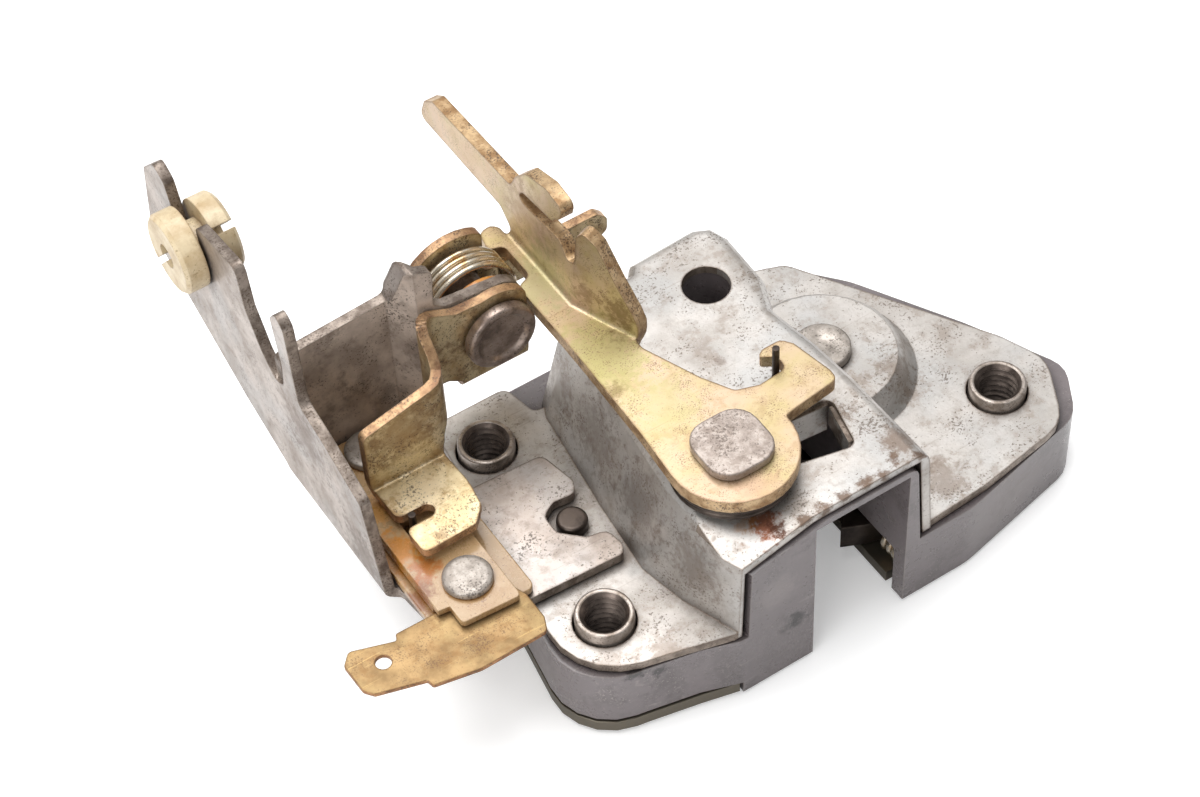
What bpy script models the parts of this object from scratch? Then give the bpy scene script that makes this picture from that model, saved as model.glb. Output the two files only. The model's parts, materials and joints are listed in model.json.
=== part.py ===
"""Tailgate lock: moulded housing, pressed cover, fork, pawl and release lever, switch carrier at its left.

X runs to the right along the lock, Y from the striker's mouth to the back, Z up from the face that meets
the panel. The origin is on that face, in the middle of the striker's slot at its mouth.
"""

import math

import bmesh
import bpy
from mathutils import Matrix, Vector

MM = 0.001

# Sheet gauges
COVER_SHEET = 1.2 * MM
BASE_SHEET = 1.8 * MM
LEVER_SHEET = 1.8 * MM
BRACKET_SHEET = 1.4 * MM
CONTACT_SHEET = 1.3 * MM
TERMINAL_SHEET = 0.6 * MM
LATCH_SHEET = 4.0 * MM

# Clearances
SEAT = 0.3 * MM
RUN = 0.4 * MM
CLINCH = 0.1 * MM

# Heights above the panel face
FLANGE_TOP = 12.5 * MM
HUMP_TOP = 27.2 * MM
SLOT_TOP = 24.7 * MM
BOSS_TOP = 16.0 * MM
LATCH_POCKET = 8.2 * MM

# The striker's slot
SLOT_WIDTH = 13.7 * MM
SLOT_DEPTH = 36.0 * MM
HOLLOW_ROOF = 9.2 * MM

# Mounting bushes, threaded M6
BUSH_RADIUS = 3.65 * MM
BUSH_BORE = 2.5 * MM
BUSH_PROUD = 1.7 * MM
BUSH_SPIGOT = 2.9 * MM
BUSHES = {
    "bush_front_left": (-29.7 * MM, 10.9 * MM),
    "bush_rear_left": (-27.5 * MM, 41.1 * MM),
    "bush_right": (30.3 * MM, 12.1 * MM),
}

# Latch fork, at rest open
FORK_PIVOT = (14.3 * MM, 27.6 * MM)
FORK_PIN = 3.0 * MM
FORK_RIM = 20.6 * MM
FORK_TOOTH = 3.4 * MM
FORK_HUB = 8.2 * MM
FORK_MOUTH = 9.2 * MM
FORK_STROKE = 48.0
FORK_HEAD = 3.7 * MM
FORK_HEAD_HEIGHT = 1.3 * MM
FORK_SINK = 4.4 * MM
BOSS_RADIUS = 11.6 * MM

# Pawl, stud and release lever, at rest lifted off the fork
PAWL_PIVOT = (-11.1 * MM, 11.0 * MM)
PAWL_REACH = 20.7 * MM
PAWL_STROKE = 10.0
PAWL_HUB = 4.0 * MM
STUD_RADIUS = 3.2 * MM
STUD_HEAD = 4.9 * MM
STUD_HEAD_HEIGHT = 1.3 * MM
STUD_DRIVE = 2.4 * MM
STUD_PINTLE = 1.9 * MM
STACK_WIRE = 0.45 * MM
STACK_TURNS = 2
STACK_RADIUS = 7.1 * MM
LEVER_BEND = 1.5 * MM
LEVER_CORNER = 1.0 * MM
LEVER_FOLD = -14.6 * MM
LEVER_TURN = (40.2 * MM, 31.3 * MM)
LEVER_SLANT = 3.4 * MM

# Carrier bracket with its arm and rear web
ARM_OUTER = -49.8 * MM
WEB_FRONT = 45.4 * MM
WEB_REAR = 48.9 * MM
BRACKET_BEND = 1.2 * MM
BRACKET_CORNER = 1.2 * MM
LOCATING_PIN = (-25.2 * MM, 24.9 * MM)
LOCATING_RADIUS = 2.0 * MM

# Contact lever on its pin
PIN_AXIS = (-23.0 * MM, 29.9 * MM)
PIN_RADIUS = 2.6 * MM
PIN_HEAD = 4.75 * MM
PIN_HEAD_HEIGHT = 1.5 * MM
EAR_RADIUS = 6.1 * MM
EAR_EDGE = -18.5 * MM
REAR_EAR_RADIUS = 7.5 * MM
REAR_EAR_GAP = 6.4 * MM
SPACER = 1.0 * MM
CONTACT_BEND = 1.0 * MM
CONTACT_SWEEP = 2.2 * MM
CONTACT_CORNER = 0.9 * MM
CONTACT_STEP = 38.55 * MM
FOOT_BOTTOM = 19.1 * MM
BRIDGE_TOP = 23.3 * MM
RETURN_WIRE = 0.42 * MM
RETURN_RADIUS = 5.8 * MM

# Switch: nylon base and cover, brass terminal, two rivets
SWITCH_BASE = 1.1 * MM
SWITCH_COVER = 1.9 * MM
SWITCH_RIVETS = {
    "switch_rivet_front": (-41.6 * MM, 21.9 * MM),
    "switch_rivet_rear": (-41.5 * MM, 45.2 * MM),
}
RIVET_HEAD = 3.1 * MM
RIVET_HEAD_HEIGHT = 1.0 * MM
RIVET_SHANK = 1.6 * MM

# Cable clip on the arm
CLIP_CENTRE = (69.3 * MM, 39.3 * MM)
CLIP_RADIUS = 5.3 * MM
CLIP_CORE = 2.9 * MM
CLIP_DISC = 3.0 * MM
CLIP_HOLE = 1.6 * MM

HOUSING_TOP = FLANGE_TOP - COVER_SHEET - SEAT
BLOCK_TOP = HUMP_TOP - COVER_SHEET - SEAT
PLATE_TOP = BASE_SHEET
LATCH_BOTTOM = PLATE_TOP + SEAT
LEVER_BOTTOM = HUMP_TOP + CLINCH + 2 * STACK_WIRE * (STACK_TURNS + 1)
LEVER_TOP = LEVER_BOTTOM + LEVER_SHEET
CARRIER_BOTTOM = FLANGE_TOP + SEAT
CARRIER_TOP = CARRIER_BOTTOM + BRACKET_SHEET


def clear_scene():
    for obj in list(bpy.data.objects):
        bpy.data.objects.remove(obj, do_unlink=True)


def material(name, colour, metallic, roughness):
    made = bpy.data.materials.new(name)
    made.use_nodes = True
    shader = made.node_tree.nodes["Principled BSDF"]
    shader.inputs["Base Color"].default_value = (*colour, 1.0)
    shader.inputs["Metallic"].default_value = metallic
    shader.inputs["Roughness"].default_value = roughness
    return made


def rounded(corners, step=18.0):
    """A plan outline from (x, y) or (x, y, radius) corners, each radius drawn as an arc."""
    points = []
    count = len(corners)
    for index, corner in enumerate(corners):
        here = Vector(corner[:2])
        radius = corner[2] if len(corner) > 2 else 0.0
        if radius == 0.0:
            points.append(here)
            continue
        before = (Vector(corners[index - 1][:2]) - here).normalized()
        after = (Vector(corners[(index + 1) % count][:2]) - here).normalized()
        half = before.angle(after) / 2
        centre = here + (before + after).normalized() * (radius / math.sin(half))
        start = here + before * (radius / math.tan(half)) - centre
        turn = math.pi - 2 * half
        side = 1.0 if before.x * after.y - before.y * after.x < 0 else -1.0
        parts = max(2, round(math.degrees(turn) / step))
        for part in range(parts + 1):
            angle = side * turn * part / parts
            points.append(centre + Matrix.Rotation(angle, 2) @ start)
    return points


def eased(points, radius, sharp=30.0):
    """The outline with its sharp corners drawn as arcs, as far as its edges leave room for them."""
    corners = []
    for index, point in enumerate(points):
        here = Vector(point)
        back = Vector(points[index - 1]) - here
        ahead = Vector(points[(index + 1) % len(points)]) - here
        turn = math.pi - back.angle(ahead)
        room = 0.45 * min(back.length, ahead.length) / max(1e-6, math.tan(turn / 2))
        corners.append((here.x, here.y, min(radius, room) if turn > math.radians(sharp) else 0.0))
    return rounded(corners, 30.0)


def mm(*corners):
    """Corners written in millimetres."""
    return [tuple(value * MM for value in corner) for corner in corners]


def circle(centre, radius, parts=24):
    x, y = centre
    turns = [2 * math.pi * part / parts for part in range(parts)]
    return [Vector((x + radius * math.cos(turn), y + radius * math.sin(turn))) for turn in turns]


def arc(centre, radius, first, last, parts=8):
    """Points on an arc, angles in degrees."""
    x, y = centre
    turns = [math.radians(first + (last - first) * part / parts) for part in range(parts + 1)]
    return [Vector((x + radius * math.cos(turn), y + radius * math.sin(turn))) for turn in turns]


def inset(points, distance):
    """The outline moved inwards by a distance; the points run anticlockwise."""
    moved = []
    for index, here in enumerate(points):
        before = (here - points[index - 1]).normalized()
        after = (points[(index + 1) % len(points)] - here).normalized()
        normal = Vector((-before.y - after.y, before.x + after.x)).normalized()
        moved.append(here + normal * (distance / max(0.4, normal.dot(Vector((-before.y, before.x))))))
    return moved


def kept_left(points, limit):
    """Points held to the left of a limit, as an edge cut straight."""
    return [Vector((min(p.x, limit), p.y)) for p in points]


def turned_about(points, centre, degrees):
    pivot = Vector(centre)
    turn = Matrix.Rotation(math.radians(degrees), 2)
    return [pivot + turn @ (Vector(point) - pivot) for point in points]


def finished(name, bm, finish, at=(0.0, 0.0, 0.0), smooth=30.0):
    """An object from a mesh in world metres, with its origin at the given point."""
    bmesh.ops.remove_doubles(bm, verts=bm.verts, dist=1e-7)
    bmesh.ops.recalc_face_normals(bm, faces=bm.faces)
    bmesh.ops.translate(bm, verts=bm.verts, vec=-Vector(at))
    mesh = bpy.data.meshes.new(name)
    bm.to_mesh(mesh)
    bm.free()
    mesh.shade_smooth()
    mesh.set_sharp_from_angle(angle=math.radians(smooth))
    obj = bpy.data.objects.new(name, mesh)
    obj.location = at
    bpy.context.scene.collection.objects.link(obj)
    if finish is not None:
        mesh.materials.append(finish)
    return obj


AXES = {
    "Z": Matrix(((1, 0, 0), (0, 1, 0), (0, 0, 1))),
    "X": Matrix(((0, 0, 1), (1, 0, 0), (0, 1, 0))),
    "Y": Matrix(((1, 0, 0), (0, 0, 1), (0, 1, 0))),
}


def prism(name, points, low, high, finish=None, axis="Z", at=(0.0, 0.0, 0.0)):
    """A closed solid from an outline drawn across an axis: (x, y), (y, z) or (x, z)."""
    bm = bmesh.new()
    face = bm.faces.new([bm.verts.new(AXES[axis] @ Vector((p[0], p[1], low))) for p in points])
    grown = bmesh.ops.extrude_face_region(bm, geom=[face])
    raised = [item for item in grown["geom"] if isinstance(item, bmesh.types.BMVert)]
    bmesh.ops.translate(bm, verts=raised, vec=AXES[axis] @ Vector((0.0, 0.0, high - low)))
    return finished(name, bm, finish, at)


def loft(lower, upper, low, high, rounding):
    """A tapered body between two outlines of like points, its top edge rounded except along the first side."""
    rings = [(lower, low)]
    if rounding > 0.0:
        share = (high - rounding - low) / (high - low)
        wall = [a.lerp(b, share) for a, b in zip(lower, upper)]
        for step in range(4):
            angle = math.radians(30.0 * step)
            drawn = inset(wall, rounding * (1.0 - math.cos(angle)))
            for corner in (0, 1):
                drawn[corner].y = upper[corner].y
            rings.append((drawn, high - rounding * (1.0 - math.sin(angle))))
    else:
        rings.append((upper, high))
    bm = bmesh.new()
    loops = [[bm.verts.new((p.x, p.y, height)) for p in outline] for outline, height in rings]
    bm.faces.new(list(reversed(loops[0])))
    bm.faces.new(loops[-1])
    for lower_loop, upper_loop in zip(loops, loops[1:]):
        for index, here in enumerate(lower_loop):
            following = (index + 1) % len(lower_loop)
            bm.faces.new((here, lower_loop[following], upper_loop[following], upper_loop[index]))
    return bm


def turned(name, profile, centre, finish=None, axis="Z", parts=28, at=(0.0, 0.0, 0.0)):
    """A turned body from (radius, height) points in order; centre is where its axis crosses the plane."""
    bm = bmesh.new()
    place = AXES[axis]
    verts = [bm.verts.new(place @ Vector((centre[0] + r, centre[1], h))) for r, h in profile]
    closed = profile[0][0] > 0.0
    last = len(verts) if closed else len(verts) - 1
    edges = [bm.edges.new((verts[i], verts[(i + 1) % len(verts)])) for i in range(last)]
    middle = place @ Vector((centre[0], centre[1], 0.0))
    along = place @ Vector((0.0, 0.0, 1.0))
    bmesh.ops.spin(
        bm, geom=verts + edges, cent=middle, axis=along, angle=2 * math.pi, steps=parts, use_merge=True
    )
    bmesh.ops.remove_doubles(bm, verts=bm.verts, dist=1e-7)
    bmesh.ops.dissolve_degenerate(bm, dist=1e-7, edges=bm.edges)
    return finished(name, bm, finish, at)


def boolean(obj, other, operation):
    """Cuts or joins another body, which stays in the file as a guide drawn in wire."""
    other.hide_render = True
    other.display_type = "WIRE"
    change = obj.modifiers.new(f"{operation.title()} {other.name}", "BOOLEAN")
    change.operation = operation
    change.solver = "EXACT"
    change.object = other


def cut(obj, *others):
    for other in others:
        boolean(obj, other, "DIFFERENCE")


def join(obj, *others):
    for other in others:
        boolean(obj, other, "UNION")


def sheet(name, outer, holes, folds, place, gauge, finish, at=(0.0, 0.0, 0.0), warp=None, cuts=()):
    """Folded sheet metal: a flat blank, bent along straight lines, then given its gauge.

    Each fold is (point, direction, degrees, radius, where): the blank to the left of the line turns up,
    about the line, over the bend's own length; where says which flat points the fold may move.
    The folds farthest out come first. A warp moves the bent sheet's points, with cuts across Y where it starts.
    """
    bm = bmesh.new()
    edges = []
    for ring in [outer, *holes]:
        verts = [bm.verts.new((p[0], p[1], 0.0)) for p in ring]
        edges += [bm.edges.new((verts[i], verts[(i + 1) % len(verts)])) for i in range(len(verts))]
    bmesh.ops.triangle_fill(bm, edges=edges, use_beauty=True, use_dissolve=False)
    for height in cuts:
        everything = list(bm.verts) + list(bm.edges) + list(bm.faces)
        level = (0.0, height, 0.0)
        bmesh.ops.bisect_plane(bm, geom=everything, plane_co=level, plane_no=(0.0, 1.0, 0.0), dist=1e-7)
    for point, direction, degrees, radius, _ in folds:
        along = Vector((direction[0], direction[1], 0.0)).normalized()
        across = Vector((-along.y, along.x, 0.0))
        length = math.radians(abs(degrees)) * radius
        for part in range(5):
            middle = Vector((point[0], point[1], 0.0)) + across * (length * part / 4)
            everything = list(bm.verts) + list(bm.edges) + list(bm.faces)
            bmesh.ops.bisect_plane(bm, geom=everything, plane_co=middle, plane_no=across, dist=1e-7)
    bmesh.ops.remove_doubles(bm, verts=bm.verts, dist=1e-6)
    flat = {vert: vert.co.copy() for vert in bm.verts}
    for point, direction, degrees, radius, where in folds:
        along = Vector((direction[0], direction[1], 0.0)).normalized()
        across = Vector((-along.y, along.x, 0.0))
        start = Vector((point[0], point[1], 0.0))
        angle = math.radians(degrees)
        length = abs(angle) * radius
        side = 1.0 if angle > 0 else -1.0
        centre = start + Vector((0.0, 0.0, side * radius))
        for vert, place_flat in flat.items():
            beyond = (place_flat - start).dot(across)
            if beyond <= 1e-8 or not where(place_flat):
                continue
            share = min(1.0, beyond / length)
            turn = Matrix.Rotation(angle * share, 3, along)
            back = across * min(beyond, length)
            vert.co = centre + turn @ (vert.co - back - centre)
    if warp is not None:
        for vert in bm.verts:
            vert.co = warp(vert.co)
    bmesh.ops.dissolve_limit(bm, angle_limit=1e-4, verts=bm.verts, edges=bm.edges)
    bmesh.ops.triangulate(bm, faces=bm.faces)
    bmesh.ops.recalc_face_normals(bm, faces=bm.faces)
    bmesh.ops.transform(bm, matrix=place, verts=bm.verts)
    obj = finished(name, bm, finish, at)
    wall = obj.modifiers.new("Gauge", "SOLIDIFY")
    wall.thickness = gauge
    wall.offset = 0.0
    wall.use_even_offset = True
    return obj


def wire(name, points, radius, finish, at=(0.0, 0.0, 0.0)):
    """A round wire along points, with closed ends."""
    curve = bpy.data.curves.new(name, "CURVE")
    curve.dimensions = "3D"
    curve.bevel_depth = radius
    curve.bevel_resolution = 2
    curve.use_fill_caps = True
    line = curve.splines.new("POLY")
    line.points.add(len(points) - 1)
    for slot, point in zip(line.points, points):
        place = Vector(point) - Vector(at)
        slot.co = (place.x, place.y, place.z, 1.0)
    curve.materials.append(finish)
    obj = bpy.data.objects.new(name, curve)
    obj.location = at
    bpy.context.scene.collection.objects.link(obj)
    return obj


def housing_outline():
    return rounded(mm(
        (-17.4, 0.0), (17.0, 0.0, 10.0), (36.6, 4.1, 5.0), (40.8, 11.2, 4.0), (34.8, 24.3, 20.0),
        (27.0, 38.6, 12.0), (20.5, 46.5, 4.0), (14.0, 48.5, 4.0), (-31.2, 48.5, 2.5), (-38.1, 4.9, 8.0),
        (-28.8, 3.1), (-22.3, 1.7),
    ))


def plate_outline():
    return rounded(mm(
        (-17.5, 0.3), (-17.5, 3.4), (16.5, 3.4, 8.0), (34.6, 7.4, 4.0), (37.2, 11.8, 3.0),
        (31.4, 24.0, 20.0), (24.3, 37.2, 12.0), (18.5, 43.2, 3.0), (13.5, 45.2, 3.0), (-15.5, 45.2),
        (-15.5, 48.4), (-31.3, 48.4, 2.5), (-38.2, 4.7, 8.0), (-28.8, 2.9), (-22.3, 1.5),
    ))


def flange_outline():
    return rounded(mm(
        (-18.2, 0.4), (11.1, 0.6), (20.0, 1.1, 10.0), (33.8, 3.3, 5.5), (38.7, 12.6, 5.0), (36.2, 19.0, 6.0),
        (26.4, 35.6), (21.0, 44.8, 2.5), (13.4, 47.6, 3.0), (-4.0, 47.6), (-15.5, 45.6), (-16.0, 42.6, 2.0),
        (-19.4, 42.8, 1.0), (-20.3, 48.2, 1.5), (-31.2, 48.2, 2.5), (-37.2, 5.4, 9.0), (-24.0, 2.0),
    ))


# The hump's outlines where it leaves the flange and at its top, point for point
HUMP_FOOT = mm(
    (-17.7, 0.4), (10.9, 0.4), (11.4, 15.0), (11.0, 22.0), (10.2, 29.4), (11.3, 34.0), (11.7, 43.5),
    (10.9, 46.2), (8.4, 47.3), (-2.5, 47.0), (-3.8, 46.2), (-14.6, 45.2), (-17.4, 44.2), (-18.9, 41.2),
    (-21.1, 25.0), (-22.1, 14.7), (-20.7, 8.2), (-18.6, 2.6),
)
HUMP_CROWN = mm(
    (-17.0, 0.4), (9.8, 0.4), (9.5, 15.0), (9.0, 22.0), (7.8, 29.4), (9.9, 34.0), (10.3, 42.5), (9.4, 45.2),
    (7.3, 46.3), (-2.5, 45.8), (-3.6, 44.4), (-12.6, 43.2), (-14.6, 42.2), (-15.6, 39.2), (-17.0, 24.0),
    (-18.3, 13.5), (-18.3, 7.6), (-18.2, 2.8),
)


def hump(name, inward, low, high, rounding):
    """The hump's body, drawn in from its outside face; its mouth stays open at the front."""
    foot = inset([Vector(p) for p in HUMP_FOOT], inward)
    crown = inset([Vector(p) for p in HUMP_CROWN], inward)
    for outline in (foot, crown):
        if inward > 0.0:
            outline[0].y = -2.0 * MM if inward < COVER_SHEET + SEAT / 2 else 0.0
            outline[1].y = outline[0].y
    bm = loft(foot, crown, low, high, rounding)
    slope = Vector((-0.252, -0.26, 0.932)).normalized()
    through = Vector((-7.0 * MM, 0.0, HUMP_TOP)) - slope * inward
    everything = list(bm.verts) + list(bm.edges) + list(bm.faces)
    cutting = bmesh.ops.bisect_plane(
        bm, geom=everything, plane_co=through, plane_no=slope, dist=1e-6, clear_outer=True
    )
    rim = [item for item in cutting["geom_cut"] if isinstance(item, bmesh.types.BMEdge)]
    bmesh.ops.holes_fill(bm, edges=rim, sides=0)
    return finished(name, bm, None)


def slot_outline():
    half = SLOT_WIDTH / 2
    end = arc((0.0, SLOT_DEPTH - half), half, 0.0, 180.0, 10)
    return [Vector((half, -1.0 * MM)), *end, Vector((-half, -1.0 * MM))]


def fork_sweep():
    """What the fork may pass through in the housing: the tooth's path, the rim's path and the hub."""
    tooth = FORK_RIM + FORK_TOOTH + RUN
    rim = FORK_RIM + RUN
    return [
        *arc(FORK_PIVOT, tooth, 122.0, 224.0, 14), *arc(FORK_PIVOT, rim, 224.0, 294.0, 8),
        *arc(FORK_PIVOT, FORK_HUB + 2.0 * MM, 330.0, 460.0, 12), arc(FORK_PIVOT, rim, 120.0, 121.0, 1)[0],
    ]


def fork_outline():
    """The fork drawn shut, its mouth round the striker, then swung back to rest."""
    x, y = FORK_PIVOT
    half = FORK_MOUTH / 2
    tooth = FORK_RIM + FORK_TOOTH
    lip = math.degrees(math.asin(half / tooth))
    bar = math.degrees(math.asin(half / FORK_RIM))
    shut = [
        *arc(FORK_PIVOT, FORK_HUB, -62.0, 92.0, 10), *arc(FORK_PIVOT, FORK_RIM, 124.0, 132.0, 1),
        *arc(FORK_PIVOT, tooth, 141.0, 180.0 - lip, 3), *arc((0.0, y), half, 90.0, -90.0, 8),
        *arc(FORK_PIVOT, FORK_RIM, 180.0 + bar, 231.0, 4),
    ]
    return turned_about(shut, FORK_PIVOT, FORK_STROKE)


def pawl_outline():
    """The pawl drawn engaged behind the tooth, then lifted to rest."""
    x, y = PAWL_PIVOT
    engaged = [
        *arc(PAWL_PIVOT, PAWL_HUB, -150.0, 40.0, 10),
        *mm((-10.1, 19.5), (-10.1, 27.4), (-7.4, 27.9)),
        *arc(PAWL_PIVOT, PAWL_REACH, 79.8, 96.0, 4),
        *mm((-15.0, 28.0), (-15.6, 19.0)),
    ]
    return turned_about(engaged, PAWL_PIVOT, PAWL_STROKE)


def make_bottom_plate(finish):
    plate = prism("bottom_plate", plate_outline(), 0.0, PLATE_TOP, finish)
    slot = prism("plate_slot_cut", slot_outline(), -1.0 * MM, 3.0 * MM)
    cut(plate, slot)
    for name, place in BUSHES.items():
        cut(plate, prism(f"{name}_plate_cut", circle(place, BUSH_SPIGOT + SEAT), -1.0 * MM, 3.0 * MM))
    cut(plate, prism("stud_plate_cut", circle(PAWL_PIVOT, STUD_PINTLE + SEAT, 20), -1.0 * MM, 3.0 * MM))
    sink = [(0.0, -1.0 * MM), (FORK_SINK + SEAT + 1.0 * MM, -1.0 * MM), (FORK_PIN + SEAT, PLATE_TOP - 0.4 * MM)]
    cut(plate, turned("rivet_plate_cut", [*sink, (FORK_PIN + SEAT, 3.0 * MM), (0.0, 3.0 * MM)], FORK_PIVOT))
    return plate


def make_housing(finish):
    body = prism("housing", housing_outline(), 0.0, HOUSING_TOP, finish)
    join(body, hump("housing_block", COVER_SHEET + 2 * SEAT, HOUSING_TOP - 2.0 * MM, BLOCK_TOP, 1.4 * MM))
    boss = circle(FORK_PIVOT, BOSS_RADIUS - COVER_SHEET - SEAT - 0.8 * MM)
    join(body, prism("housing_boss", boss, HOUSING_TOP - 2.0 * MM, BOSS_TOP - COVER_SHEET - SEAT))
    recess = inset(plate_outline(), -SEAT)
    for point in recess:
        if point.x < -17.3 * MM:
            point.x -= 0.8 * MM
            point.y += 0.8 * MM if point.y > 40.0 * MM else -0.8 * MM
    cut(body, prism("plate_recess", recess, -1.0 * MM, LATCH_BOTTOM))
    cut(body, prism("slot_cut", slot_outline(), -1.0 * MM, SLOT_TOP))
    cut(body, prism("latch_pocket", fork_sweep(), -1.0 * MM, LATCH_POCKET))
    pawl_room = rounded(mm(
        (-17.0, 6.2, 1.0), (-6.5, 6.2), (-6.5, 32.6), (-20.6, 32.6, 2.0), (-19.6, 16.0, 3.0),
    ))
    cut(body, prism("pawl_pocket", pawl_room, -1.0 * MM, LATCH_POCKET))
    spring_room = rounded(mm((6.5, 2.2), (13.6, 2.2, 1.0), (13.6, 12.0, 1.0), (6.5, 12.0)))
    cut(body, prism("spring_pocket", spring_room, -1.0 * MM, LATCH_POCKET))
    left = rounded(mm((-34.0, 18.5, 1.5), (-24.5, 18.0, 1.5), (-22.6, 33.6, 1.5), (-32.2, 33.6, 1.5)))
    cut(body, prism("left_hollow", left, -1.0 * MM, HOLLOW_ROOF))
    rear = rounded(mm((-21.4, 36.0, 1.5), (-11.6, 36.0, 1.5), (-11.6, 45.0, 1.5), (-21.4, 45.0, 1.5)))
    cut(body, prism("rear_hollow", rear, -1.0 * MM, HOLLOW_ROOF))
    right = rounded(mm((26.6, 18.4, 1.2), (33.8, 19.6, 1.2), (28.6, 31.6, 1.2), (26.6, 31.8, 0.8)))
    cut(body, prism("right_hollow", right, -1.0 * MM, HOLLOW_ROOF))
    back = rounded(mm((5.0, 40.6, 1.5), (18.2, 40.6, 1.5), (16.0, 45.0, 1.5), (5.0, 45.0, 1.5)))
    cut(body, prism("back_hollow", back, -1.0 * MM, HOLLOW_ROOF))
    for name, place in BUSHES.items():
        cut(body, prism(f"{name}_body_cut", circle(place, BUSH_RADIUS + SEAT), -1.0 * MM, 20.0 * MM))
    cut(body, prism("stud_bore", circle(PAWL_PIVOT, STUD_RADIUS + SEAT), 2.0 * MM, 30.0 * MM))
    cut(body, prism("rivet_bore", circle(FORK_PIVOT, FORK_PIN + SEAT), 2.0 * MM, 30.0 * MM))
    well = rounded(mm((-5.9, 4.4, 1.0), (7.2, 4.4, 1.0), (7.2, 16.6, 1.0), (-5.9, 16.6, 1.0)))
    cut(body, prism("window_well", well, SLOT_TOP - 5.0 * MM, 30.0 * MM))
    cut(body, prism("hole_a_well", circle(mm((3.2, 37.0))[0], 3.6 * MM), 14.0 * MM, 30.0 * MM))
    return body


def make_cover(finish):
    cover = prism("cover_plate", flange_outline(), FLANGE_TOP - COVER_SHEET, FLANGE_TOP, finish)
    join(cover, hump("cover_hump", 0.0, FLANGE_TOP - COVER_SHEET, HUMP_TOP, 2.0 * MM))
    base = FLANGE_TOP - COVER_SHEET
    profile = [
        (0.0, base), (BOSS_RADIUS + 0.6 * MM, base), (BOSS_RADIUS + 0.6 * MM, FLANGE_TOP),
        (BOSS_RADIUS - 0.4 * MM, FLANGE_TOP + 0.9 * MM), (BOSS_RADIUS - 1.1 * MM, BOSS_TOP - 0.9 * MM),
        (BOSS_RADIUS - 2.0 * MM, BOSS_TOP), (0.0, BOSS_TOP),
    ]
    join(cover, turned("cover_boss", profile, FORK_PIVOT, parts=32))
    cut(cover, hump("hump_inside", COVER_SHEET, base - 1.0 * MM, HUMP_TOP - COVER_SHEET, 0.0))
    inner = circle(FORK_PIVOT, BOSS_RADIUS - COVER_SHEET - 0.5 * MM)
    cut(cover, prism("boss_inside", inner, base - 1.0 * MM, BOSS_TOP - COVER_SHEET))
    window = rounded(mm((-5.0, 7.9, 1.0), (3.3, 6.0, 1.2), (5.1, 13.7, 1.2), (-4.6, 14.6, 1.0)))
    cut(cover, prism("window_cut", window, HUMP_TOP - 4.0 * MM, HUMP_TOP + 1.0 * MM))
    flap = mm((-3.4, 13.9), (4.4, 13.2), (4.5, 14.4), (-3.3, 15.1))
    join(cover, prism("window_flap_rear", [Vector(p) for p in flap], 22.0 * MM, HUMP_TOP - 0.5 * MM))
    side = mm((3.0, 7.2), (4.2, 6.95), (5.5, 12.6), (4.3, 12.9))
    join(cover, prism("window_flap_right", [Vector(p) for p in side], 23.4 * MM, HUMP_TOP - 0.5 * MM))
    cut(cover, prism("hole_a_cut", circle(mm((3.2, 37.0))[0], 3.1 * MM), 20.0 * MM, 30.0 * MM))
    for name, place in BUSHES.items():
        cut(cover, prism(f"{name}_cover_cut", circle(place, BUSH_RADIUS + SEAT), 10.0 * MM, 14.0 * MM))
    cut(cover, prism("stud_cover_cut", circle(PAWL_PIVOT, STUD_RADIUS + SEAT), 22.0 * MM, 30.0 * MM))
    cut(cover, prism("rivet_cover_cut", circle(FORK_PIVOT, FORK_PIN + SEAT), 12.0 * MM, 20.0 * MM))
    return cover


def make_bush(name, place, finish):
    top = FLANGE_TOP + BUSH_PROUD
    profile = [
        (BUSH_BORE, 0.0), (BUSH_SPIGOT, 0.0), (BUSH_SPIGOT, LATCH_BOTTOM), (BUSH_RADIUS, LATCH_BOTTOM),
        (BUSH_RADIUS, top - SEAT), (BUSH_RADIUS - SEAT, top), (BUSH_BORE + 0.5 * MM, top),
        (BUSH_BORE, top - 0.5 * MM),
    ]
    return turned(name, profile, place, finish, parts=32)


def make_fork_rivet(finish):
    head = BOSS_TOP + CLINCH
    profile = [
        (0.0, 0.0), (FORK_SINK, 0.0), (FORK_PIN, PLATE_TOP - SEAT - 0.4 * MM), (FORK_PIN, head),
        (FORK_HEAD, head), (FORK_HEAD, head + FORK_HEAD_HEIGHT - SEAT),
        (FORK_HEAD - SEAT, head + FORK_HEAD_HEIGHT), (0.0, head + FORK_HEAD_HEIGHT),
    ]
    return turned("fork_rivet", profile, FORK_PIVOT, finish, parts=32)


def make_fork(finish):
    at = (*FORK_PIVOT, LATCH_BOTTOM)
    fork = prism("latch_fork", fork_outline(), LATCH_BOTTOM, LATCH_BOTTOM + LATCH_SHEET, finish, at=at)
    cut(fork, prism("fork_bore", circle(FORK_PIVOT, FORK_PIN + RUN), 1.0 * MM, 10.0 * MM))
    return fork


def make_pawl(finish):
    at = (*PAWL_PIVOT, LATCH_BOTTOM)
    pawl = prism("pawl", pawl_outline(), LATCH_BOTTOM, LATCH_BOTTOM + LATCH_SHEET, finish, at=at)
    cut(pawl, prism("pawl_bore", circle(PAWL_PIVOT, STUD_DRIVE + CLINCH, 20), 1.0 * MM, 10.0 * MM))
    return pawl


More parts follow.
